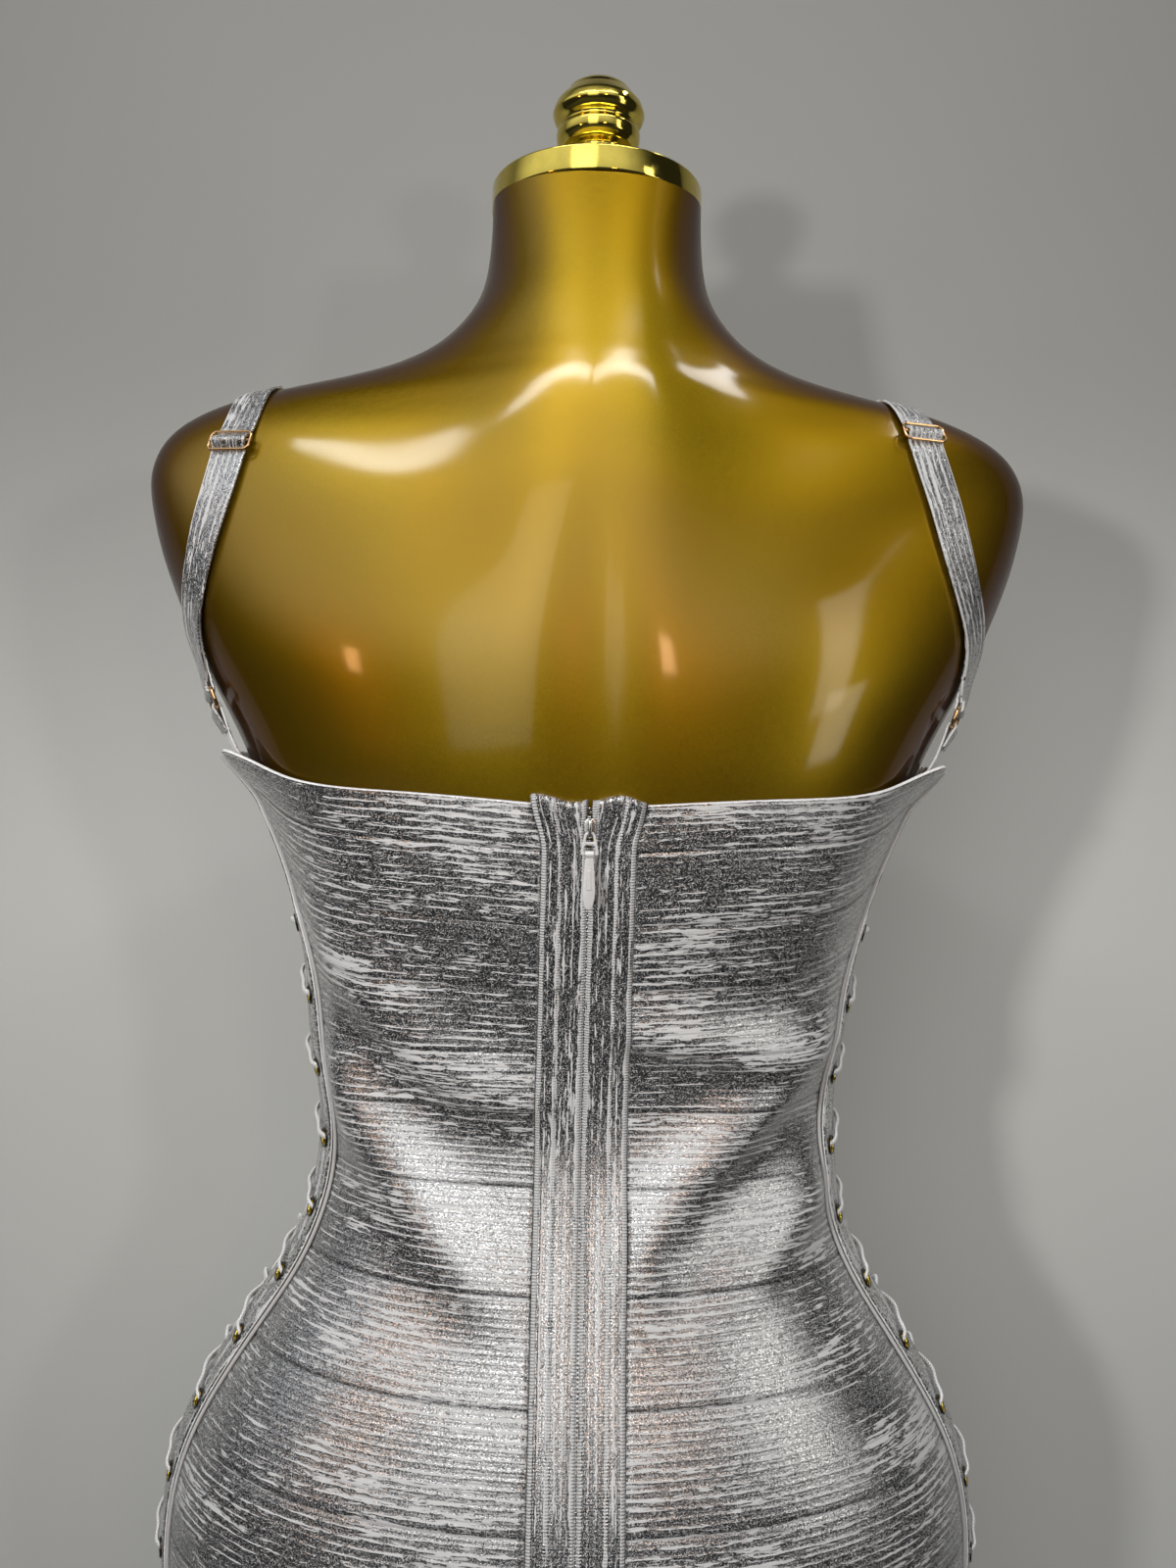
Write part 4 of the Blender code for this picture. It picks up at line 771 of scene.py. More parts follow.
def matt_stage(name, colour, one_sided=False, top_share=1.0, unseen_share=1.0):
    """Matt floor or backdrop.

    top_share is how much of its lightness a painted shade leaves high up, and unseen_share how much of
    it every ray but the camera's own meets, a painted shade in what it reflects and lights. A one-sided
    one is clear from behind and casts no shadow.
    """
    material, tree, shader = new_material(name)
    place = add(tree, "ShaderNodeTexCoord").outputs["Object"]
    cloud = solid_noise(tree, place, 3.0, 3.0)
    height = add(tree, "ShaderNodeSeparateXYZ", {0: place}).outputs[2]
    rays = add(tree, "ShaderNodeLightPath").outputs
    # Painted shade: the colour is darker high up; the cloud is faint random unevenness
    level = times(
        tree,
        blend_range(tree, height, *PAINTED_SHADE_HEIGHTS, 1.0, top_share),
        blend_range(tree, cloud, 0.3, 0.7, 0.97, 1.0),
        # Painted shade: every ray but the camera's own meets only unseen_share of the colour
        blend_range(tree, rays["Is Camera Ray"], 0.0, 1.0, unseen_share, 1.0),
    )
    shaded = add(tree, "ShaderNodeVectorMath", {0: colour, 1: level}, operation="MULTIPLY").outputs[0]
    connect(tree, shader, {"Base Color": shaded, "Roughness": 0.55})
    if one_sided:
        behind = add(tree, "ShaderNodeNewGeometry").outputs["Backfacing"]
        behind = math_node(tree, "MAXIMUM", behind, rays["Is Shadow Ray"])
        clear = add(tree, "ShaderNodeBsdfTransparent").outputs[0]
        both = add(tree, "ShaderNodeMixShader", {0: behind, 1: shader.outputs[0], 2: clear})
        connect(tree, tree.nodes["Material Output"], {0: both.outputs[0]})
    return material


# ---------------------------------------------------------------- building pieces


def shade(mesh, angle=40):
    """Smooth shading, but for edges sharper than an angle."""
    mesh.shade_smooth()
    mesh.set_sharp_from_angle(angle=math.radians(angle))


def mesh_of(shape, name):
    """Mesh of a finished bmesh, which is freed."""
    mesh = bpy.data.meshes.new(name)
    shape.to_mesh(mesh)
    shape.free()
    return mesh


def linked(name, data):
    """New object in the scene."""
    made = bpy.data.objects.new(name, data)
    bpy.context.scene.collection.objects.link(made)
    return made


def piece(name, mesh, finishes, node=None, body="dress_on_form"):
    """Object of a finished mesh that rides on a body, takes a slot and may stand for a node."""
    for finish in finishes:
        mesh.materials.append(finish)
    made = linked(name, mesh)
    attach(made, body)
    if node:
        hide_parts(node)
    return made


def row_at(share_along, rows):
    """Number of the row at each share along a grid."""
    return np.rint(share_along * rows).astype(int)


def woven(name, columns, rows, place, closed=False, capped=False, second=None, marks=None):
    """Mesh of a grid laid out by place, which gives points and UVs from shares across and along.

    closed joins its first and last columns, capped fills its ends, second picks the faces of the
    second finish by their shares, and marks names values that each point keeps.
    """
    shape = bmesh.new()
    bmesh.ops.create_grid(shape, x_segments=columns, y_segments=rows, size=0.5)
    shape.faces.ensure_lookup_table()
    if second:
        for face in shape.faces:
            middle = face.calc_center_median()
            face.material_index = int(second(middle.x + 0.5, middle.y + 0.5))
    mesh = mesh_of(shape, name)
    shares = np.empty(len(mesh.vertices) * 3)
    mesh.vertices.foreach_get("co", shares)
    across, along = shares.reshape(-1, 3)[:, 0] + 0.5, shares.reshape(-1, 3)[:, 1] + 0.5
    points, weave = place(across, along)
    mesh.vertices.foreach_set("co", points.ravel())
    corners = np.empty(len(mesh.loops), int)
    mesh.loops.foreach_get("vertex_index", corners)
    mesh.uv_layers.new(name="weave").data.foreach_set("uv", weave[corners].ravel())
    for mark, value in (marks or {}).items():
        mesh.attributes.new(mark, "FLOAT", "POINT").data.foreach_set("value", value(across, along))
    shape = bmesh.new()
    shape.from_mesh(mesh)
    if closed:
        bmesh.ops.remove_doubles(shape, verts=shape.verts, dist=1e-7)
        if capped:
            bmesh.ops.holes_fill(shape, edges=shape.edges, sides=0)
        bmesh.ops.recalc_face_normals(shape, faces=shape.faces)
    else:
        outward = sum(
            face.normal.x * face.calc_center_median().x + face.normal.y * face.calc_center_median().y
            for face in shape.faces
        )
        if outward < 0:
            bmesh.ops.reverse_faces(shape, faces=shape.faces)
    shape.to_mesh(mesh)
    shape.free()
    shade(mesh, 60)
    return mesh


def thickened(made, thickness, rim=0):
    """Gives a sheet its thickness inwards, and its cut edges the finish that is rim places on."""
    wall = made.modifiers.new("thickness", "SOLIDIFY")
    wall.thickness = thickness
    wall.offset = -1
    wall.material_offset_rim = rim


def path_frames(path, hint, closed):
    """Unit vectors to the side and up at each point of a path, where hint is near up."""
    if closed:
        ahead = unit(np.roll(path, -1, axis=0) - np.roll(path, 1, axis=0))
    else:
        ahead = unit(np.gradient(path, axis=0))
    up = unit(hint - ahead * (hint * ahead).sum(axis=1, keepdims=True))
    return np.cross(ahead, up), up


def tube(name, path, hint, radius, sides=10, closed=False, flat=1.0):
    """Mesh of a round or flattened tube along a path, with UVs of length and of share round."""
    across, up = path_frames(path, hint, closed)
    steps = np.linalg.norm(np.diff(path, axis=0, append=path[:1] if closed else path[-1:]), axis=1)
    along = np.concatenate([[0], np.cumsum(steps)])[: len(path)]
    rows = len(path) if closed else len(path) - 1

    def place(share_round, share_along):
        row = row_at(share_along, rows)
        turn = share_round * math.tau
        index = row % len(path)
        point = path[index] + radius * (
            across[index] * np.cos(turn)[:, None] + flat * up[index] * np.sin(turn)[:, None]
        )
        length = np.where(row == len(path), along[-1] + steps[-1], along[index])
        return point, np.stack([length, share_round], axis=1)

    return woven(name, sides, rows, place, closed=True, capped=not closed)


def turned(name, profile, foot, steps, angle=35):
    """Mesh of a profile, as (radius, height) from the foot up, spun about an upright axis."""
    shape = bmesh.new()
    points = [shape.verts.new((radius, 0, height)) for radius, height in profile]
    edges = [shape.edges.new(pair) for pair in zip(points, points[1:])]
    bmesh.ops.spin(
        shape, geom=points + edges, axis=(0, 0, 1), cent=(0, 0, 0), angle=math.tau, steps=steps,
        use_merge=True,
    )  # fmt: skip
    bmesh.ops.remove_doubles(shape, verts=shape.verts, dist=1e-6)
    bmesh.ops.recalc_face_normals(shape, faces=shape.faces)
    bmesh.ops.translate(shape, verts=shape.verts, vec=foot)
    mesh = mesh_of(shape, name)
    shade(mesh, angle)
    return mesh


def joined_mesh(name, meshes):
    """One mesh of several."""
    shape = bmesh.new()
    for mesh in meshes:
        shape.from_mesh(mesh)
        bpy.data.meshes.remove(mesh)
    mesh = mesh_of(shape, name)
    shade(mesh)
    return mesh


def softened(profile, radius, steps=4):
    """Profile with its inner corners rounded off."""
    outline = [profile[0]]
    for before, corner, after in zip(profile, profile[1:], profile[2:]):
        corner_v = Vector(corner)
        back, on = Vector(before) - corner_v, Vector(after) - corner_v
        reach = min(radius, 0.45 * back.length, 0.45 * on.length)
        start, end = corner_v + back.normalized() * reach, corner_v + on.normalized() * reach
        for step in range(steps + 1):
            share = step / steps
            point = start.lerp(corner_v, share).lerp(corner_v.lerp(end, share), share)
            outline.append(tuple(point))
    outline.append(profile[-1])
    return outline


def softened_loop(corners, radius):
    """Closed outline with rounded corners."""
    count = len(corners)
    outline = []
    for i, corner in enumerate(corners):
        before, after = Vector(corners[i - 1]), Vector(corners[(i + 1) % count])
        outline += softened([tuple(before), corner, tuple(after)], radius)[1:-1]
    return outline


# ---------------------------------------------------------------- form and stand


def build_form(finishes):
    """Torso with rounded arm ends, neck cap, finial, and the stand."""
    levels = FIGURE_LEVELS[::3]
    levels = levels[levels[:, 0] > FORM_BOTTOM + 7 * MM][:, 0]
    foot = [FORM_BOTTOM + rise * MM for rise in (0.0, 0.4, 1.5, 3.2, 5.4)]
    inset = [rise * MM for rise in (6.0, 3.6, 1.7, 0.5, 0.0)]
    heights = np.concatenate([foot, levels, [NECK_TOP]])
    insets = np.concatenate([inset, np.zeros(len(levels) + 1)])
    rows = len(heights) - 1

    def place(share_round, share_along):
        row = row_at(share_along, rows)
        turn = share_round * math.tau - math.pi / 2
        left = share_round <= 0.5
        folded = np.where(left, turn, math.pi - turn)
        point = figure(heights[row], folded)
        point = point - figure_normal(heights[row], folded) * insets[row][:, None]
        point[:, 2] = heights[row]
        point[:, 0] *= np.where(left, 1, -1)
        return point, np.stack([share_round, share_along], axis=1)

    mesh = woven("form_shell", 240, rows, place, closed=True, capped=True)
    piece("form_shell", mesh, [finishes["gold_paint"]], "form_torso")

    cap = [
        (0, 0), (CAP_RADIUS, 0), (CAP_RADIUS, CAP_HEIGHT),
        (CAP_RADIUS - 3 * MM, CAP_HEIGHT), (0, CAP_HEIGHT),
    ]  # fmt: skip
    finial = [(radius * MM, height * MM) for radius, height in FINIAL]
    base = [
        (0, 0), (BASE_RADIUS, 0), (BASE_RADIUS, BASE_THICKNESS - 3 * MM),
        (BASE_RADIUS - 4 * MM, BASE_THICKNESS), (0.030, BASE_TOP), (0, BASE_TOP),
    ]  # fmt: skip
    pole_length = FORM_BOTTOM - COLLAR_THICKNESS - 2 * TOUCH - BASE_TOP - TOUCH
    pole = [(0, 0), (POLE_RADIUS, 0), (POLE_RADIUS, pole_length), (0, pole_length)]
    collar = [
        (0, 0), (0.020, 0), (COLLAR_RADIUS, 3 * MM), (COLLAR_RADIUS, COLLAR_THICKNESS),
        (0, COLLAR_THICKNESS),
    ]  # fmt: skip
    for name, node, profile, rounding, y, z, steps in (
        ("cap_ring", "neck_cap", cap, 1.1, NECK_CENTRE, NECK_TOP + TOUCH, 128),
        ("finial_turning", "neck_finial", finial, 1.2, NECK_CENTRE, NECK_TOP + CAP_HEIGHT + 2 * TOUCH, 96),
        ("base_disc", "stand_base", base, 3, 0, 0, 160),
        ("pole_tube", "stand_pole", pole, 0.5, 0, BASE_TOP + TOUCH, 48),
        ("collar_disc", "stand_collar", collar, 1, 0, FORM_BOTTOM - COLLAR_THICKNESS - TOUCH, 96),
    ):
        mesh = turned(name, softened(profile, rounding * MM), (0, y, z), steps)
        piece(name, mesh, [finishes["gold_plate"]], node)


# ---------------------------------------------------------------- dress panels


def strip_rows(top):
    """Level and seam share of each row of a panel of joined strips, and how far each is crowned."""
    length = (top - HEM_HEIGHT) / (BACK_TOP - HEM_HEIGHT)
    seams = HEM_HEIGHT + (np.array(SEAM_HEIGHTS) - HEM_HEIGHT) * length
    levels, dips, crowns = [], [], []
    for low, high in zip(seams, seams[1:]):
        plain = np.linspace(low + 2.2 * MM, high - 2.2 * MM, max(4, round((high - low) / (3.0 * MM))))
        rows = [low, low + 0.5 * MM, low + 1.2 * MM, *plain, high - 1.2 * MM, high - 0.5 * MM]
        levels += rows
        dips += [1.0, 0.45, 0.1, *([0.0] * len(plain)), 0.1, 0.45]
        crowns += [math.sin(math.pi * (row - low) / (high - low)) for row in rows]
    levels.append(seams[-1])
    dips.append(0.0)
    crowns.append(0.0)
    dips[0] = 0.0
    return np.array(levels), np.array(dips), np.array(crowns)


def build_panel(name, node, side, columns, top, edge, towards_back, end, finishes):
    """Panel of joined strips from the piping to the line that end gives, as one sheet."""
    levels, dips, crowns = strip_rows(top)
    rows = len(levels) - 1
    way = 1 if towards_back else -1

    def place(across, along):
        row = row_at(along, rows)
        if towards_back:
            share, sides = across, np.full(len(across), side)
        else:
            share = 1 - np.abs(2 * across - 1)
            sides = np.where(across <= 0.5, 1, -1)
        level = levels[row]
        height = level + read_table(edge, share) * ease(level, NECKLINE_FOOT, top)
        around = panel_start(height) * (1 - share) + end(height) * share
        lift = FORM_GAP + CLOTH - SEAM_DIP * dips[row] + STRIP_CROWN * (crowns[row] - 1)
        left, right = (cloth(height, way * around, lift, one_side) for one_side in (1, -1))
        points = np.where((sides == 1)[:, None], left, right)
        from_middle = end(height) - around + (ZIP_BAND_WIDTH if towards_back else 0)
        return points, np.stack([from_middle * sides + (0.5 if towards_back else 3.5), level], axis=1)

    def seam(across, along):
        return dips[row_at(along, rows)]

    mesh = woven(name, columns, rows, place, marks={"seam": seam})
    made = piece(name, mesh, [finishes["foil_cloth"], finishes["white_knit"]], node)
    thickened(made, CLOTH - 0.2 * MM, rim=1)


def build_panels(finishes):
    """Both back panels and the front panel."""
    for side, label in SIDES:
        build_panel(
            f"back_cloth_{label}", f"back_panel_{label}", side, 56,
            BACK_TOP, BACK_EDGE, True, zip_band_edge, finishes,
        )  # fmt: skip
    build_panel(
        "front_cloth", "front_panel", 1, 120,
        FRONT_TOP, FRONT_EDGE, False, front_girth, finishes,
    )  # fmt: skip


def build_zip_bands(finishes):
    """Upright ribbed strips beside the zip, folded over and gathered at the top."""
    straight = np.linspace(HEM_HEIGHT, BACK_TOP - ZIP_FOLD_RADIUS, 240)
    arc = np.linspace(0, math.pi, 9)[1:]
    inside = np.linspace(1, 7, 4) * MM
    fold_foot = straight[-1]
    fold_end = fold_foot + ZIP_FOLD_RADIUS * math.pi
    levels = np.concatenate([straight, fold_foot + ZIP_FOLD_RADIUS * np.sin(arc), fold_foot - inside])
    sinks = np.concatenate(
        [np.zeros(len(straight)), ZIP_FOLD_RADIUS * (1 - np.cos(arc)), np.full(4, 2 * ZIP_FOLD_RADIUS)]
    )
    lengths = np.concatenate([straight, fold_foot + ZIP_FOLD_RADIUS * arc, fold_end + inside])
    rows = len(levels) - 1
    for side, label in SIDES:

        def place(across, along, side=side):
            row = row_at(along, rows)
            height = levels[row]
            opening = ZIP_CLOSED + (ZIP_OPENING - ZIP_CLOSED) * ease(height, *ZIP_PARTING)
            far, near = zip_band_edge(height) + SEAM, back_girth(height) - opening / 2
            width = near - far
            edge = np.minimum(across, 1 - across) * width
            rounding = 0.8 * MM * bell(edge / (0.7 * MM))
            tuck = 0.0
            for share, inset, depth in ((across, 2.5, 0.45), (across, 8.2, 0.30), (1 - across, 2.9, 0.45)):
                tuck += depth * MM * bell((share * width - inset * MM) / TUCK_WIDTH)
            near_top = ease(height, BACK_TOP - 18 * MM, BACK_TOP - 2 * MM)
            gather = 0.45 * MM * near_top * np.sin(across * 46 + (1.3 if side > 0 else 4.0))
            gather += 0.25 * MM * near_top * np.sin(across * 83 + 0.7 * side)
            bulge = 1.8 * MM * ease(height, BACK_TOP - 14 * MM, BACK_TOP) * np.sin(math.pi * across) ** 0.6
            lift = FORM_GAP + zip_band_spread(height) + CLOTH + ZIP_BAND_RISE
            lift = lift - rounding - tuck + gather + bulge - sinks[row]
            wave = np.sin(across * 5 + side) - 0.2
            top = BACK_TOP + 1.5 * MM * wave * ease(height, ZIP_PARTING[1], BACK_TOP)
            points = cloth(height + (top - BACK_TOP), far + width * across, lift, side)
            return points, np.stack([lengths[row], across * width + (0.07 if side > 0 else 0.12)], axis=1)

        def welt(across, along):
            from_far = across * ZIP_BAND_WIDTH / MM
            from_edge = np.minimum(from_far, (1 - across) * ZIP_BAND_WIDTH / MM)
            inner_line = bell((from_far - 7.0) / 0.6)
            return np.maximum(1 - ease(from_edge, 1.4, 2.1), 0.8 * inner_line)

        name = f"zip_strip_{label}"
        mesh = woven(name, 54, rows, place, marks={"welt": welt})
        made = piece(name, mesh, [finishes["foil_band"]], f"zip_band_{label}")
        thickened(made, 0.8 * MM)


# ---------------------------------------------------------------- side lacing


def eyelet_heights():
    """Heights of the eyelets, evenly spaced along the side of the dress."""
    levels = np.linspace(LACING_BOTTOM, LACING_TOP, 200)
    along = run_lengths(figure(levels, np.zeros(200)))
    return np.interp(np.linspace(0, along[-1], EYELETS_PER_COLUMN), along, levels)


def eyelet_line(height):
    """Distance from the side line to the middles of the eyelets, which sit near the piping."""
    return gap_half(height) + EYELET_BAND_WIDTH - EYELET_INSET


def eyelet_frame(height, way, side):
    """Middle of an eyelet band's wall at a height, its normal, and the direction to the gap."""
    lift = BAND_GAP + CLOTH / 2
    centre, above, below = (
        Vector(cloth(level, way * eyelet_line(level), lift, side))
        for level in (height, height + MM, height - MM)
    )
    up = (above - below).normalized()
    turn = turn_at(np.array([height]), np.array([way * eyelet_line(height)]))
    normal = Vector(figure_normal(np.array([height]), turn)[0] * (side, 1, 1))
    normal = (normal - up * normal.dot(up)).normalized()
    to_gap = up.cross(normal).normalized()
    if to_gap.dot(Vector(cloth(height, 0.0, lift, side)) - centre) < 0:
        to_gap.negate()
    return centre, normal, to_gap


def eyelet_mesh():
    """One pressed metal eyelet with its rim outside and its washer inside, about the Z axis."""
    over, under = CLOTH / 2, -CLOTH / 2
    bore = EYELET_HOLE_RADIUS - 0.1 * MM
    profile = (
        (bore, under - 0.45 * MM), (bore + 0.5 * MM, under - 0.75 * MM),
        (EYELET_RADIUS - 0.3 * MM, under - 0.35 * MM), (EYELET_RADIUS - 0.2 * MM, under - 0.02 * MM),
        (bore + 0.5 * MM, under - 0.02 * MM), (bore + 0.5 * MM, over + 0.02 * MM),
        (EYELET_RADIUS, over + 0.02 * MM), (EYELET_RADIUS, over + 0.22 * MM),
        (EYELET_RADIUS - 0.5 * MM, over + 0.5 * MM), (bore + 1.1 * MM, over + 0.75 * MM),
        (bore + 0.35 * MM, over + 0.6 * MM), (bore, over + 0.1 * MM), (bore, under - 0.45 * MM),
    )  # fmt: skip
    mesh = turned("eyelet", profile, (0, 0, 0), 28, angle=50)
    for face in mesh.polygons:
        face.material_index = int(math.hypot(face.center.x, face.center.y) < bore + 0.45 * MM)
    return mesh


def cut_holes(mesh, centres):
    """Takes the faces at each eyelet out of a band's mesh."""
    shape = bmesh.new()
    shape.from_mesh(mesh)
    middles = np.array([face.calc_center_median() for face in shape.faces])
    cut = np.zeros(len(middles), bool)
    for centre in centres:
        cut |= np.linalg.norm(middles - np.array(centre), axis=1) < EYELET_HOLE_RADIUS + 0.9 * MM
    shape.faces.ensure_lookup_table()
    bmesh.ops.delete(shape, geom=[shape.faces[i] for i in np.flatnonzero(cut)], context="FACES")
    shape.to_mesh(mesh)
    shape.free()


def eyelet_row(name, template, frames):
    """One mesh of all the eyelets of a band."""
    shape = bmesh.new()
    for centre, normal, to_gap in frames:
        known = len(shape.verts)
        shape.from_mesh(template)
        shape.verts.ensure_lookup_table()
        turn = Matrix((to_gap, normal.cross(to_gap), normal)).transposed().to_4x4()
        bmesh.ops.transform(shape, matrix=Matrix.Translation(centre) @ turn, verts=shape.verts[known:])
    mesh = mesh_of(shape, name)
    shade(mesh, 50)
    return mesh


def build_eyelet_bands(finishes):
    """Eyelet bands with their holes, their metal eyelets and the piping beside them."""
    holes = eyelet_heights()
    template = eyelet_mesh()
    courses = ((1, "back", BACK_EDGE, BACK_TOP), (-1, "front", FRONT_EDGE, FRONT_TOP))
    for side, label, way, part, edge, top in [(*one, *other) for one in SIDES for other in courses]:
        upper = top + float(read_table(edge, 0.0))

        def place(across, along, side=side, way=way, upper=upper):
            height = HEM_HEIGHT + (upper - HEM_HEIGHT) * along
            around = gap_half(height) + EYELET_BAND_WIDTH * across
            edge_distance = np.minimum(across, 1 - across) * EYELET_BAND_WIDTH
            rounding = 0.5 * MM * bell(edge_distance / (0.8 * MM))
            stitched = 0.25 * MM * bell((across * EYELET_BAND_WIDTH - 2.6 * MM) / (0.4 * MM))
            points = cloth(height, way * around, BAND_GAP + CLOTH - rounding - stitched, side)
            return points, np.stack([height * 0.8, around * way * 0.36 + 0.3 + 0.1 * side], axis=1)

        name = f"eyelet_strip_{part}_{label}"
        mesh = woven(name, 24, EYELET_BAND_ROWS, place)
        frames = [eyelet_frame(hole, way, side) for hole in holes]
        cut_holes(mesh, [frame[0] for frame in frames])
        cloths = [finishes["foil_band"], finishes["white_knit"]]
        made = piece(name, mesh, cloths, f"eyelet_band_{part}_{label}")
        thickened(made, CLOTH - 0.1 * MM, rim=1)

        name = f"eyelets_{part}_{label}"
        metals = [finishes["eyelet_metal"], finishes["gold_plate"]]
        piece(name, eyelet_row(name, template, frames), metals)

        levels = np.linspace(HEM_HEIGHT, top, 230)
        line_height = levels + read_table(edge, 0.0) * ease(levels, NECKLINE_FOOT, top)
        around = way * piping_line(line_height)
        line = cloth(line_height, around, FORM_GAP + CLOTH + PIPING_RISE, side)
        hint = figure_normal(line_height, turn_at(line_height, around)) * (side, 1, 1)
        name = f"piping_cord_{part}_{label}"
        mesh = tube(name, line, hint, PIPING_CORD / 2)
        piece(name, mesh, [finishes["piping_knit"]], f"piping_{part}_{label}")


def strand(side, first_way):
    """Route of one strand from the lowest eyelet to the highest, crossing the gap at each step."""
    heights = eyelet_heights()
    climb = LACE_CLIMB * (heights[1] - heights[0])

    def point(height, way, around, lift):
        return cloth(height, way * around, lift, side)

    route = []
    for i, height in enumerate(heights):
        way = first_way if i % 2 == 0 else -first_way
        if i > 0:
            arrive = height - climb
            crossing = LACE_BED + (LACE_THICKNESS + LACE_CLEARANCE) * (way > 0)
            route.append(point((height + heights[i - 1]) / 2, way, 0.0, crossing))
            route.append(point(arrive, way, gap_half(arrive) - LACE_WIDTH / 2, LACE_UNDER))
        route.append(point(height - LACE_EXIT / 2, way, eyelet_line(height), LACE_UNDER))
        route.append(point(height + LACE_EXIT / 2, way, eyelet_line(height) - LACE_EXIT / 2, LACE_RIM))
        if i < len(heights) - 1:
            leave = height + climb
            middle = (eyelet_line(height) + gap_half(leave)) / 2
            route.append(point(height + climb * 0.6, way, middle, LACE_OVER))
            route.append(point(leave, way, gap_half(leave), LACE_OVER))
    return route


def build_laces(finishes):
    """One closed braided lace on each side."""
    top, foot = eyelet_heights()[-1], eyelet_heights()[0]
    for side, label in SIDES:
        rising, falling = strand(side, 1), strand(side, -1)[::-1]
        top_bar = [cloth(top, way * gap_half(top), LACE_OVER, side) for way in (-1, 1)]
        foot_bar = [cloth(foot, way * gap_half(foot), LACE_UNDER, side) for way in (-1, 1)]
        route = rising + top_bar + falling + foot_bar
        looped = route[-3:] + route + route[:4]
        fine = smoothed(looped, LACE_STEPS)[3 * LACE_STEPS : (3 + len(route)) * LACE_STEPS]
        hint = unit(fine * (1, 1, 0))
        name = f"lace_braid_{label}"
        flat = LACE_THICKNESS / LACE_WIDTH
        mesh = tube(name, fine, hint, LACE_WIDTH / 2, sides=12, closed=True, flat=flat)
        piece(name, mesh, [finishes["lace_braid"]], f"lace_{label}")


# ---------------------------------------------------------------- straps


def turn_across(height, across):
    """Turn from the side line at which the figure is this wide at a height."""
    turns = np.radians(np.linspace(0, 90, 91))
    widths = figure(np.full(91, height), turns)[:, 0]
    return np.interp(-across, -widths, turns)


def strap_bed(side):
    """Distances along the strap's bed from the ring, with the bed's points and normals."""
    ridge = FIGURE_LEVELS[FIGURE_LEVELS[:, 0] > SHOULDER_HEIGHT]
    rows = []
    for height, across, way, lift, right_shift in STRAP_BED:
        across -= right_shift if side < 0 else 0
        if way == 0:
            height = float(np.interp(-across, -ridge[:, 1], ridge[:, 0]))
        turn = way * turn_across(height, across)
        place = figure(np.array([height]), np.array([turn]))[0]
        normal = figure_normal(np.array([height]), np.array([turn]))[0]
        rows.append((*(place + normal * lift), *normal))
    curve = smoothed(rows, 16)
    along = run_lengths(curve[:, :3])
    half = len(curve) // 2
    ring = np.interp(RING_HEIGHT, curve[:half, 2], along[:half])
    return along - ring, curve


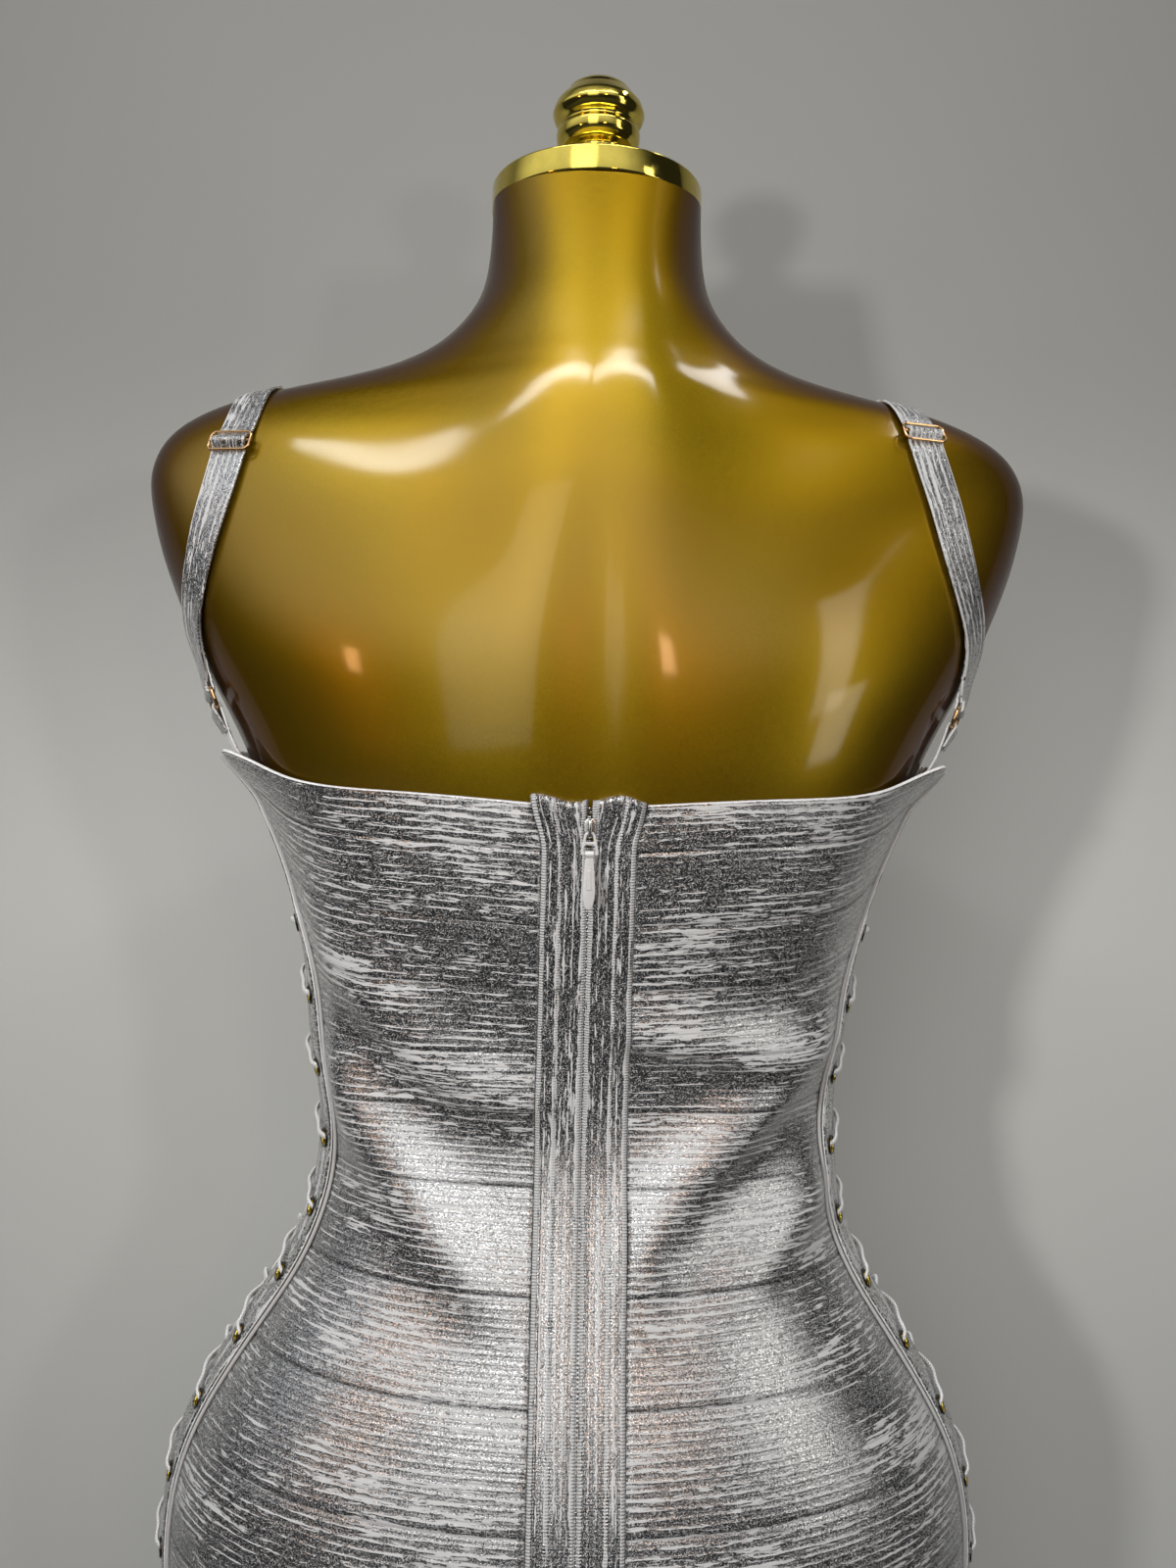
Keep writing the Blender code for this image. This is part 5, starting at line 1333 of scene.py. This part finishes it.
class Bed:
    """Places on one strap's bed, by distance along it from the ring and by height above it."""

    def __init__(self, side, adjuster_height):
        self.side = side
        self.along, self.curve = strap_bed(side)
        self.length = float(self.along[-1])
        half = len(self.curve) // 2
        self.adjuster = float(np.interp(adjuster_height, self.curve[:half, 2], self.along[:half]))

    def read(self, along):
        """Point and normal of the bed."""
        values = [float(np.interp(along, self.along, self.curve[:, i])) for i in range(6)]
        values[0] *= self.side
        values[3] *= self.side
        return Vector(values[:3]), Vector(values[3:]).normalized()

    def frame(self, along):
        """Point, direction across the strap, direction along it and normal, all one way at the ring."""
        point = self.read(along)[0]
        by_ring = -RING_LENGTH - STEADY_REACH < along < STEADY_REACH
        heading = -RING_LENGTH / 2 if by_ring else along
        normal = self.read(heading)[1]
        ahead = (self.read(heading + MM)[0] - self.read(heading - MM)[0]).normalized()
        normal = (normal - ahead * normal.dot(ahead)).normalized()
        return point, ahead.cross(normal), ahead, normal

    def band(self, route, name, shift=None):
        """Closed band through (distance, height of its middle) pairs, with ribs and toothed edges."""
        shifts = [0.0 if shift is None else shift(i) for i in range(len(route))]
        fine = smoothed([(*spot, aside) for spot, aside in zip(route, shifts)], 8)
        lengths = run_lengths(fine[:, :2])
        count = int(lengths[-1] / (0.9 * MM))
        spots = np.linspace(0, lengths[-1], count + 1)
        fine = np.stack([np.interp(spots, lengths, fine[:, i]) for i in range(3)], axis=1)
        middles, wides, thicks = [], [], []
        slopes = unit(np.gradient(fine[:, :2], axis=0))
        for (along, height, aside), way in zip(fine, slopes):
            point, across, ahead, normal = self.frame(float(along))
            middles.append(point + normal * float(height) + across * float(aside) * self.side)
            wides.append(across)
            thicks.append(ahead * float(way[1]) - normal * float(way[0]))
        middles, wides, thicks = np.array(middles), np.array(wides), np.array(thicks)
        ring = strap_section()
        sides = len(ring)

        def place(share_round, share_along):
            row = row_at(share_along, count)
            spot = row_at(share_round, sides) % sides
            x, y = ring[spot, 0], ring[spot, 1]
            tooth = np.where(np.abs(x) > 0.49, 1 + TOOTHED_EDGE * np.where(row % 2 == 0, 1, -1), 1.0)
            point = middles[row] + wides[row] * (x * tooth * STRAP_WIDTH)[:, None]
            point = point + thicks[row] * (y * STRAP_THICKNESS)[:, None]
            return point, np.stack([spots[row] + 0.2 * self.side, x * STRAP_WIDTH + 0.05], axis=1)

        def reverse(share_round, share_along):
            spot = int(share_round * sides) % sides
            return ring[spot, 1] < 0 and ring[(spot + 1) % sides, 1] < 0

        return woven(name, sides, count, place, closed=True, capped=True, second=reverse)

    def wire_frame(self, low, high, height, half_width, wire, chamfer, name):
        """Wire rectangle with cut corners, its bars at two places along the strap."""
        foot, foot_across, _, foot_normal = self.frame(low)
        head, head_across, _, head_normal = self.frame(high)
        foot, head = foot + foot_normal * height, head + head_normal * height
        across, ahead = (foot_across + head_across).normalized(), (head - foot).normalized()
        normal = ahead.cross(across)
        half_length = (head - foot).length / 2
        corners = []
        for x, y in ((1, 1), (1, -1), (-1, -1), (-1, 1)):
            first = (x * (half_width - chamfer), y * half_length)
            second = (x * half_width, y * (half_length - chamfer))
            corners += [first, second] if x == y else [second, first]
        outline = softened_loop(corners, wire * 1.2)
        centre = (foot + head) / 2
        path = np.array([centre + across * x + ahead * y for x, y in outline])
        hint = np.tile(np.array(normal), (len(path), 1))
        return tube(name, path, hint, wire, sides=12, closed=True)


def strap_section():
    """Outline of a strap's section as shares of its width and thickness: ribbed above, flat below."""
    top = [(x, 0.5 - 0.09 * (i % 2)) for i, x in enumerate(np.linspace(-0.485, 0.485, 19))]
    foot = [(x, -0.5) for x in np.linspace(0.485, -0.485, 9)]
    return np.array([*top, (0.5, 0.2), (0.5, -0.2), *foot, (-0.5, -0.2), (-0.5, 0.2)])


def turn_round_bar(along, height, reach, way):
    """(distance, height) pairs of a half turn round a wire, from above it to below it."""
    angles = [math.pi / 2 - way * math.pi * i / 4 for i in range(5)]
    return [(along + reach * math.cos(a), height + reach * math.sin(a)) for a in angles]


def build_straps(finishes):
    """Straps with their adjusters, rings and tabs."""
    lower = STRAP_THICKNESS / 2
    upper = lower + STRAP_THICKNESS + LAYER_GAP
    reach = RING_WIRE + LAYER_GAP + STRAP_THICKNESS / 2
    ring_height = lower + reach
    weave = ADJUSTER_WIRE + 2 * LAYER_GAP + STRAP_THICKNESS / 2
    adjuster_height = upper + weave
    cloths = [finishes["foil_strap"], finishes["white_knit"]]
    for side, label in SIDES:
        bed = Bed(side, ADJUSTER_HEIGHTS[label])
        middle, half = bed.adjuster, ADJUSTER_HALF_LENGTH
        route = [(along, lower) for along in np.linspace(bed.length, middle + 4 * half, 15)]
        route += [
            (middle + 2 * half, lower + 0.4 * MM),
            (middle + half, upper),
            (middle + 0.5 * half, adjuster_height),
            (middle, adjuster_height + weave),
            (middle - 0.5 * half, adjuster_height),
            (middle - half, upper),
        ]
        route += [(along, upper) for along in np.linspace(middle - 2 * half, 12 * MM, 8)]
        route.append((5 * MM, upper + 0.6 * reach))
        turn_start = len(route)
        route += turn_round_bar(0.0, ring_height, reach, -1)
        route += [(along, lower) for along in np.linspace(6 * MM, middle - 1.6 * half, 8)]
        route.append((middle - 0.5 * half, lower + 0.5 * MM))
        route.append((middle, upper))

        def shift(i, turn_start=turn_start):
            return -1.7 * MM * float(ease(i, turn_start + 4, turn_start + 8))

        name = f"strap_web_{label}"
        piece(name, bed.band(route, name, shift), cloths, f"strap_{label}")

        shape = (adjuster_height, ADJUSTER_HALF_WIDTH, ADJUSTER_WIRE, 1.6 * MM)
        name = f"adjuster_wire_{label}"
        mesh = bed.wire_frame(middle - half, middle + half, *shape, name)
        point, across, _, normal = bed.frame(middle)
        centre = point + normal * adjuster_height
        ends = np.array([centre - across * ADJUSTER_HALF_WIDTH, centre + across * ADJUSTER_HALF_WIDTH])
        bar = tube("bar", ends, np.tile(np.array(normal), (2, 1)), ADJUSTER_WIRE, sides=12)
        mesh = joined_mesh(name, [mesh, bar])
        piece(name, mesh, [finishes["rose_gold"]], f"strap_adjuster_{label}")

        name = f"ring_wire_{label}"
        mesh = bed.wire_frame(-RING_LENGTH, 0.0, ring_height, RING_HALF_WIDTH, RING_WIRE, 2.2 * MM, name)
        piece(name, mesh, [finishes["rose_gold"]], f"strap_ring_{label}")

        foot = bed.along[0] + 9 * MM
        tab = [(along, lower) for along in np.linspace(foot, -RING_LENGTH - 5 * MM, 4)]
        tab += turn_round_bar(-RING_LENGTH, ring_height, reach, 1)[::-1]
        tab += [(-RING_LENGTH - 5 * MM, upper + 0.6 * reach), (-RING_LENGTH - 10 * MM, upper)]
        name = f"ring_tab_{label}"
        piece(name, bed.band(tab, name), cloths, f"strap_tab_{label}")


# ---------------------------------------------------------------- zip


def centre_back(height, lift):
    """Points on the middle of the back, lifted off the form."""
    turn = np.full(np.shape(height), math.pi / 2)
    place = figure(height, turn) + figure_normal(height, turn) * np.asarray(lift)[..., None]
    return place * (0, 1, 1)


def pull_hinge():
    """Middle of the bar on which the pull ring turns."""
    top = SLIDER_HEIGHT + PLATE_LENGTH / 2
    lift = FORM_GAP + zip_band_spread(top) + CLOTH + ZIP_BAND_RISE
    y = float(centre_back(np.array([top]), np.array([lift]))[0, 1])
    low = SLIDER_HEIGHT - BRIDGE_LENGTH / 2 + BRIDGE_DEPTH / 2
    return Vector((0, y + LAYER_GAP + PLATE_THICKNESS + BRIDGE_DEPTH / 2, low))


def flat_mesh(name, outlines, thickness, edge, turn):
    """Plate with rounded edges from an outline and the outlines of its holes, then turned."""
    curve = bpy.data.curves.new(name, "CURVE")
    curve.dimensions = "2D"
    curve.fill_mode = "BOTH"
    curve.bevel_depth = edge
    curve.bevel_resolution = 3
    curve.extrude = thickness / 2 - edge
    curve.offset = -edge
    for outline in outlines:
        spline = curve.splines.new("POLY")
        spline.points.add(len(outline) - 1)
        for target, (across, up) in zip(spline.points, outline):
            target.co = (across, up, 0, 1)
        spline.use_cyclic_u = True
    guide = linked(name, curve)
    graph = bpy.context.evaluated_depsgraph_get()
    mesh = bpy.data.meshes.new_from_object(guide.evaluated_get(graph))
    bpy.data.objects.remove(guide)
    bpy.data.curves.remove(curve)
    shape = bmesh.new()
    shape.from_mesh(mesh)
    bmesh.ops.remove_doubles(shape, verts=shape.verts, dist=1e-6)
    bmesh.ops.recalc_face_normals(shape, faces=shape.faces)
    bmesh.ops.transform(shape, matrix=turn, verts=shape.verts)
    shape.to_mesh(mesh)
    shape.free()
    shade(mesh)
    return mesh


def mirrored_outline(half, radius):
    """Whole outline in metres from its right half in millimetres, with rounded corners."""
    corners = list(half) + [(-across, up) for across, up in reversed(half)]
    return softened_loop([(across * MM, up * MM) for across, up in corners], radius)


def build_zip(finishes):
    """Teeth between the bands, the slider on them, and the ring and tab of its pull."""
    levels = np.arange(HEM_HEIGHT + 1.5 * MM, CHAIN_TOP, TOOTH_PITCH)
    lift = FORM_GAP + CLOTH / 2 + 0.3 * MM
    spots = centre_back(levels, np.full(len(levels), lift))
    normals = figure_normal(levels, np.full(len(levels), math.pi / 2)) * (0, 1, 1)
    teeth = bmesh.new()
    for i, (spot, normal) in enumerate(zip(spots, normals)):
        way = 1 if i % 2 else -1
        made = bmesh.ops.create_cube(teeth, size=1.0)["verts"]
        bmesh.ops.scale(teeth, vec=(1.9 * MM, 1.5 * MM, 1.0 * MM), verts=made)
        up = Vector((1, 0, 0)).cross(Vector(normal))
        turn = Matrix((Vector((1, 0, 0)), Vector(normal), up)).transposed().to_4x4()
        shift = Matrix.Translation(Vector(spot) + Vector((0.35 * MM * way, 0, 0)))
        bmesh.ops.transform(teeth, matrix=shift @ turn, verts=made)
    bmesh.ops.bevel(
        teeth, geom=list(teeth.edges), offset=0.22 * MM, segments=1, affect="EDGES", profile=0.5, material=-1
    )  # fmt: skip
    mesh = mesh_of(teeth, "zip_teeth")
    shade(mesh)
    piece("zip_teeth", mesh, [finishes["nickel"]], "zip_chain")

    hinge = pull_hinge()
    on_edge = Matrix.Rotation(math.pi / 2, 4, "X")
    on_side = Matrix.Rotation(math.pi / 2, 4, "Z") @ on_edge
    plate_centre = Vector((0, hinge.y - (BRIDGE_DEPTH + PLATE_THICKNESS) / 2, SLIDER_HEIGHT))
    half_w, half_l = PLATE_WIDTH / 2 / MM, PLATE_LENGTH / 2 / MM
    plate_outline = mirrored_outline(
        ((1.2, half_l), (half_w, half_l - 1.4), (half_w, -half_l + 2.2), (1.3, -half_l)), 0.9 * MM
    )
    plate = flat_mesh("plate", [plate_outline], PLATE_THICKNESS, 0.3 * MM,
                      Matrix.Translation(plate_centre) @ on_edge)  # fmt: skip
    bridge_half = BRIDGE_DEPTH / 2 / MM
    long_half = BRIDGE_LENGTH / 2 / MM
    wall = BRIDGE_WALL / MM
    outer = mirrored_outline(((bridge_half, long_half), (bridge_half, -long_half)), 1.7 * MM)
    inner = mirrored_outline(
        ((bridge_half - wall, long_half - wall), (bridge_half - wall, -long_half + wall)), 1.0 * MM
    )
    bridge_place = Matrix.Translation((0, hinge.y - 0.25 * MM, SLIDER_HEIGHT)) @ on_side
    bridge = flat_mesh("bridge", [outer, inner], BRIDGE_WIDTH, 0.3 * MM, bridge_place)
    mesh = joined_mesh("slider_body", [plate, bridge])
    piece("slider_body", mesh, [finishes["nickel"]], "zip_slider")

    outlines = [
        mirrored_outline(((2.0, 0.5), (3.9, -8.8)), 1.5 * MM),
        mirrored_outline(((1.1, -0.5), (1.7, -3.3)), 0.7 * MM),
        mirrored_outline(((1.9, -4.6), (2.6, -7.8)), 0.8 * MM),
    ]
    mesh = flat_mesh("pull_link", outlines, PULL_THICKNESS, 0.28 * MM, Matrix.Translation(hinge) @ on_edge)
    piece("pull_link", mesh, [finishes["enamel"]], "pull_ring", body="pull_ring")

    tab_hinge = Matrix.Translation(hinge - Vector((0, 0, PULL_DROP)))
    blade_half = ((1.6, -0.9), (1.9, -4.0), (2.6, -13.5), (2.5, -17.5), (1.5, -21.2), (0.5, -22.0))
    outline = mirrored_outline(blade_half, 2.0 * MM)
    blade = flat_mesh("blade", [outline], 1.2 * MM, 0.4 * MM, tab_hinge @ on_edge)
    rib_half = ((0.75, -6.2), (1.0, -14.2))
    rib_place = tab_hinge @ Matrix.Translation((0, 0.5 * MM, 0)) @ on_edge
    rib = flat_mesh("rib", [mirrored_outline(rib_half, 0.3 * MM)], 0.7 * MM, 0.2 * MM, rib_place)
    turns = np.linspace(0, math.tau, 24, endpoint=False)
    loop = [
        [(radius * MM * math.cos(turn), radius * MM * math.sin(turn)) for turn in turns]
        for radius in (1.55, 0.95)
    ]
    eye = flat_mesh("eye", loop, 3.4 * MM, 0.2 * MM, tab_hinge @ on_side)
    mesh = joined_mesh("pull_blade", [blade, rib, eye])
    piece("pull_blade", mesh, [finishes["enamel"]], "pull_tab", body="pull_tab")


# ---------------------------------------------------------------- stage, lights and camera

# The camera's place and turns
CAMERA_YAW = math.radians(1.59)
CAMERA_ROLL = math.radians(1.28)
CAMERA_PLACE = (-0.0017, 0.6039, 1.1711)
CAMERA_LENS = 29.0


def build_camera():
    """Camera behind the dress, level with the top of its back."""
    data = bpy.data.cameras.new("camera")
    data.sensor_fit = "AUTO"
    data.sensor_width = 36
    data.lens = CAMERA_LENS
    camera = linked("camera", data)
    place = Matrix.Rotation(-CAMERA_YAW, 3, "Z") @ Vector(CAMERA_PLACE)
    camera.matrix_world = (
        Matrix.Translation(place)
        @ Matrix.Rotation(-CAMERA_YAW, 4, "Z")
        @ Matrix.Rotation(math.pi, 4, "Z")
        @ Matrix.Rotation(math.pi / 2, 4, "X")
        @ Matrix.Rotation(CAMERA_ROLL, 4, "Z")
    )
    bpy.context.scene.camera = camera


FLOOR_SIDE = 9.0
WALL_WIDTH = 2.2
WALL_HEIGHT = 2.8
WALL_PLACE = -0.185

# Heights between which painted shade darkens the stage upwards
PAINTED_SHADE_HEIGHTS = (1.08, 1.47)


def build_stage(finishes):
    """Floor, and a wall close to the front of the dress that is clear from its own back."""
    upright = Matrix.Rotation(-math.pi / 2, 4, "X")
    for name, width, depth, turn, place in (
        ("floor", FLOOR_SIDE, FLOOR_SIDE, Matrix.Identity(4), (0, 0, 0)),
        ("backdrop", WALL_WIDTH, WALL_HEIGHT, upright, (0, WALL_PLACE, WALL_HEIGHT / 2)),
    ):
        shape = bmesh.new()
        bmesh.ops.create_grid(shape, x_segments=4, y_segments=4, size=0.5)
        bmesh.ops.scale(shape, vec=(width, depth, 1), verts=shape.verts)
        bmesh.ops.transform(shape, matrix=Matrix.Translation(place) @ turn, verts=shape.verts)
        mesh = mesh_of(shape, name)
        mesh.materials.append(finishes[name])
        linked(name, mesh)


# Lamps: name, turn from the back towards the left, rise, distance, width, height, power, colour,
# and whether the gloss shows them
LAMP_CENTRE = Vector((0, 0.05, 1.20))
LAMPS = (
    ("key", 33, 5, 1.30, 0.10, 0.10, 1.85, (1.00, 0.98, 0.95), False),
    ("counter_lamp", -30, 6, 1.25, 0.10, 0.10, 0.50, (1.00, 0.97, 0.92), False),
    ("tall_panel", 16, 19, 2.2, 0.95, 1.80, 1.8, (1.00, 0.98, 0.94), True),
    ("side_panel", -55, 14, 2.0, 0.34, 1.10, 0.80, (1.00, 0.97, 0.92), True),
    ("low_panel", -60, -3, 2.0, 0.40, 0.36, 0.25, (1.00, 0.97, 0.92), True),
    ("warm_lamp_left", 50, 8, 1.8, 0.12, 0.20, 0.20, (1.00, 0.50, 0.20), True),
    ("warm_lamp_right", -16, 13, 1.8, 0.16, 0.22, 0.30, (1.00, 0.55, 0.28), True),
    ("front_fill", 180, 25, 3.0, 1.80, 1.80, 12.0, (1.00, 1.00, 1.00), True),
)
LAMP_SPREAD = math.radians(75)

# Ceiling tubes: name, ends, power
TUBE_HEIGHT = 2.92
TUBES = (
    ("tube_left", (1.20, 0.74), (0.06, 1.20), 1.7),
    ("tube_right", (0.02, 1.23), (-1.00, 0.75), 1.5),
    ("tube_side", (-1.05, -0.32), (-1.15, 0.20), 0.4),
)
TUBE_WIDTH = 0.11

# How far the open side of the room is turned from straight behind the dress, towards its left
OPEN_TURN = math.radians(26)

# Light of the room on its closed and its open side, and what the camera sees past the wall
ROOM_DARK = (0.022, 0.023, 0.025, 1)
ROOM_BRIGHT = (1.05, 1.07, 1.10, 1)
ROOM_SEEN = (0.42, 0.42, 0.41, 1)


def area_light(name, place, aim, size, power, colour=(1, 1, 1)):
    """Rectangular lamp that faces a point, with a narrowed spread."""
    data = bpy.data.lights.new(name, "AREA")
    data.shape = "RECTANGLE"
    data.size, data.size_y = size
    data.energy = power
    data.spread = LAMP_SPREAD
    data.color = colour
    lamp = linked(name, data)
    away = Vector(place) - Vector(aim)
    lamp.matrix_world = Matrix.Translation(place) @ away.to_track_quat("Z", "Y").to_matrix().to_4x4()
    return lamp


def build_lights():
    """Room that is bright above and behind the camera, with soft lamps and ceiling tubes."""
    world = bpy.data.worlds.new("studio")
    bpy.context.scene.world = world
    world.use_nodes = True
    tree = world.node_tree
    away = add(tree, "ShaderNodeTexCoord").outputs["Generated"]
    apart = add(tree, "ShaderNodeSeparateXYZ", {0: away})
    rise = blend_range(tree, apart.outputs[2], 0.02, 0.45)
    ceiling = blend_range(tree, apart.outputs[2], 0.70, 0.97, 1.0, 0.25)
    leftward = times(tree, apart.outputs[0], math.sin(OPEN_TURN))
    backward = math_node(tree, "MULTIPLY_ADD", apart.outputs[1], math.cos(OPEN_TURN), leftward)
    open_side = blend_range(tree, backward, 0.05, 0.72)
    room = mixed(tree, times(tree, rise, ceiling, open_side), ROOM_DARK, ROOM_BRIGHT)
    seen = add(tree, "ShaderNodeLightPath").outputs["Is Camera Ray"]
    colour = mixed(tree, seen, room, ROOM_SEEN)
    tree.links.new(colour, tree.nodes["Background"].inputs["Color"])
    for name, turn, climb, distance, width, height, power, tint, glossy in LAMPS:
        turn, climb = math.radians(turn), math.radians(climb)
        way = Vector((math.sin(turn) * math.cos(climb), math.cos(turn) * math.cos(climb), math.sin(climb)))
        lamp = area_light(name, LAMP_CENTRE + way * distance, LAMP_CENTRE, (width, height), power, tint)
        lamp.visible_glossy = glossy
    for name, start, end, power in TUBES:
        middle = Vector((*((Vector(start) + Vector(end)) / 2), TUBE_HEIGHT))
        length = (Vector(start) - Vector(end)).length
        lamp = area_light(name, middle, LAMP_CENTRE, (length, TUBE_WIDTH), power)
        run = Vector((*(Vector(end) - Vector(start)), 0)).normalized()
        facing = (middle - LAMP_CENTRE).normalized()
        facing = (facing - run * facing.dot(run)).normalized()
        turn = Matrix((run, facing.cross(run), facing)).transposed().to_4x4()
        lamp.matrix_world = Matrix.Translation(middle) @ turn
    bpy.context.scene.view_settings.view_transform = "Standard"


def main():
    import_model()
    build_camera()
    finishes = {
        "foil_cloth": foil_material("foil_cloth", cover=0.568, marks=["seam"]),
        "foil_band": foil_material("foil_band", cover=0.585, rib_depth=1.6, marks=["welt"]),
        "foil_strap": foil_material("foil_strap", cover=0.560, rib_depth=0.8),
        "white_knit": plain_knit("white_knit", 0.50, 0.80),
        "piping_knit": plain_knit("piping_knit", 0.26, 0.52),
        "lace_braid": lace_braid(),
        "gold_paint": gold_paint(),
        "gold_plate": plated("gold_plate", (0.66, 0.52, 0.10), 0.06),
        "rose_gold": plated("rose_gold", (0.78, 0.50, 0.26), 0.14),
        "nickel": plated("nickel", (0.80, 0.79, 0.77), 0.20),
        "eyelet_metal": plated("eyelet_metal", (0.12, 0.115, 0.11), 0.20),
        "enamel": enamel(),
        # The floor is pale to the camera but dark to reflections and bounce: painted shade
        "floor": matt_stage("floor", (0.50, 0.50, 0.49), unseen_share=0.12),
        # The backdrop's top is darkened by painted shade
        "backdrop": matt_stage("backdrop", (0.430, 0.436, 0.420), one_sided=True, top_share=0.54),
    }
    build_form(finishes)
    build_panels(finishes)
    build_zip_bands(finishes)
    build_eyelet_bands(finishes)
    build_laces(finishes)
    build_straps(finishes)
    build_zip(finishes)
    build_stage(finishes)
    build_lights()


main()
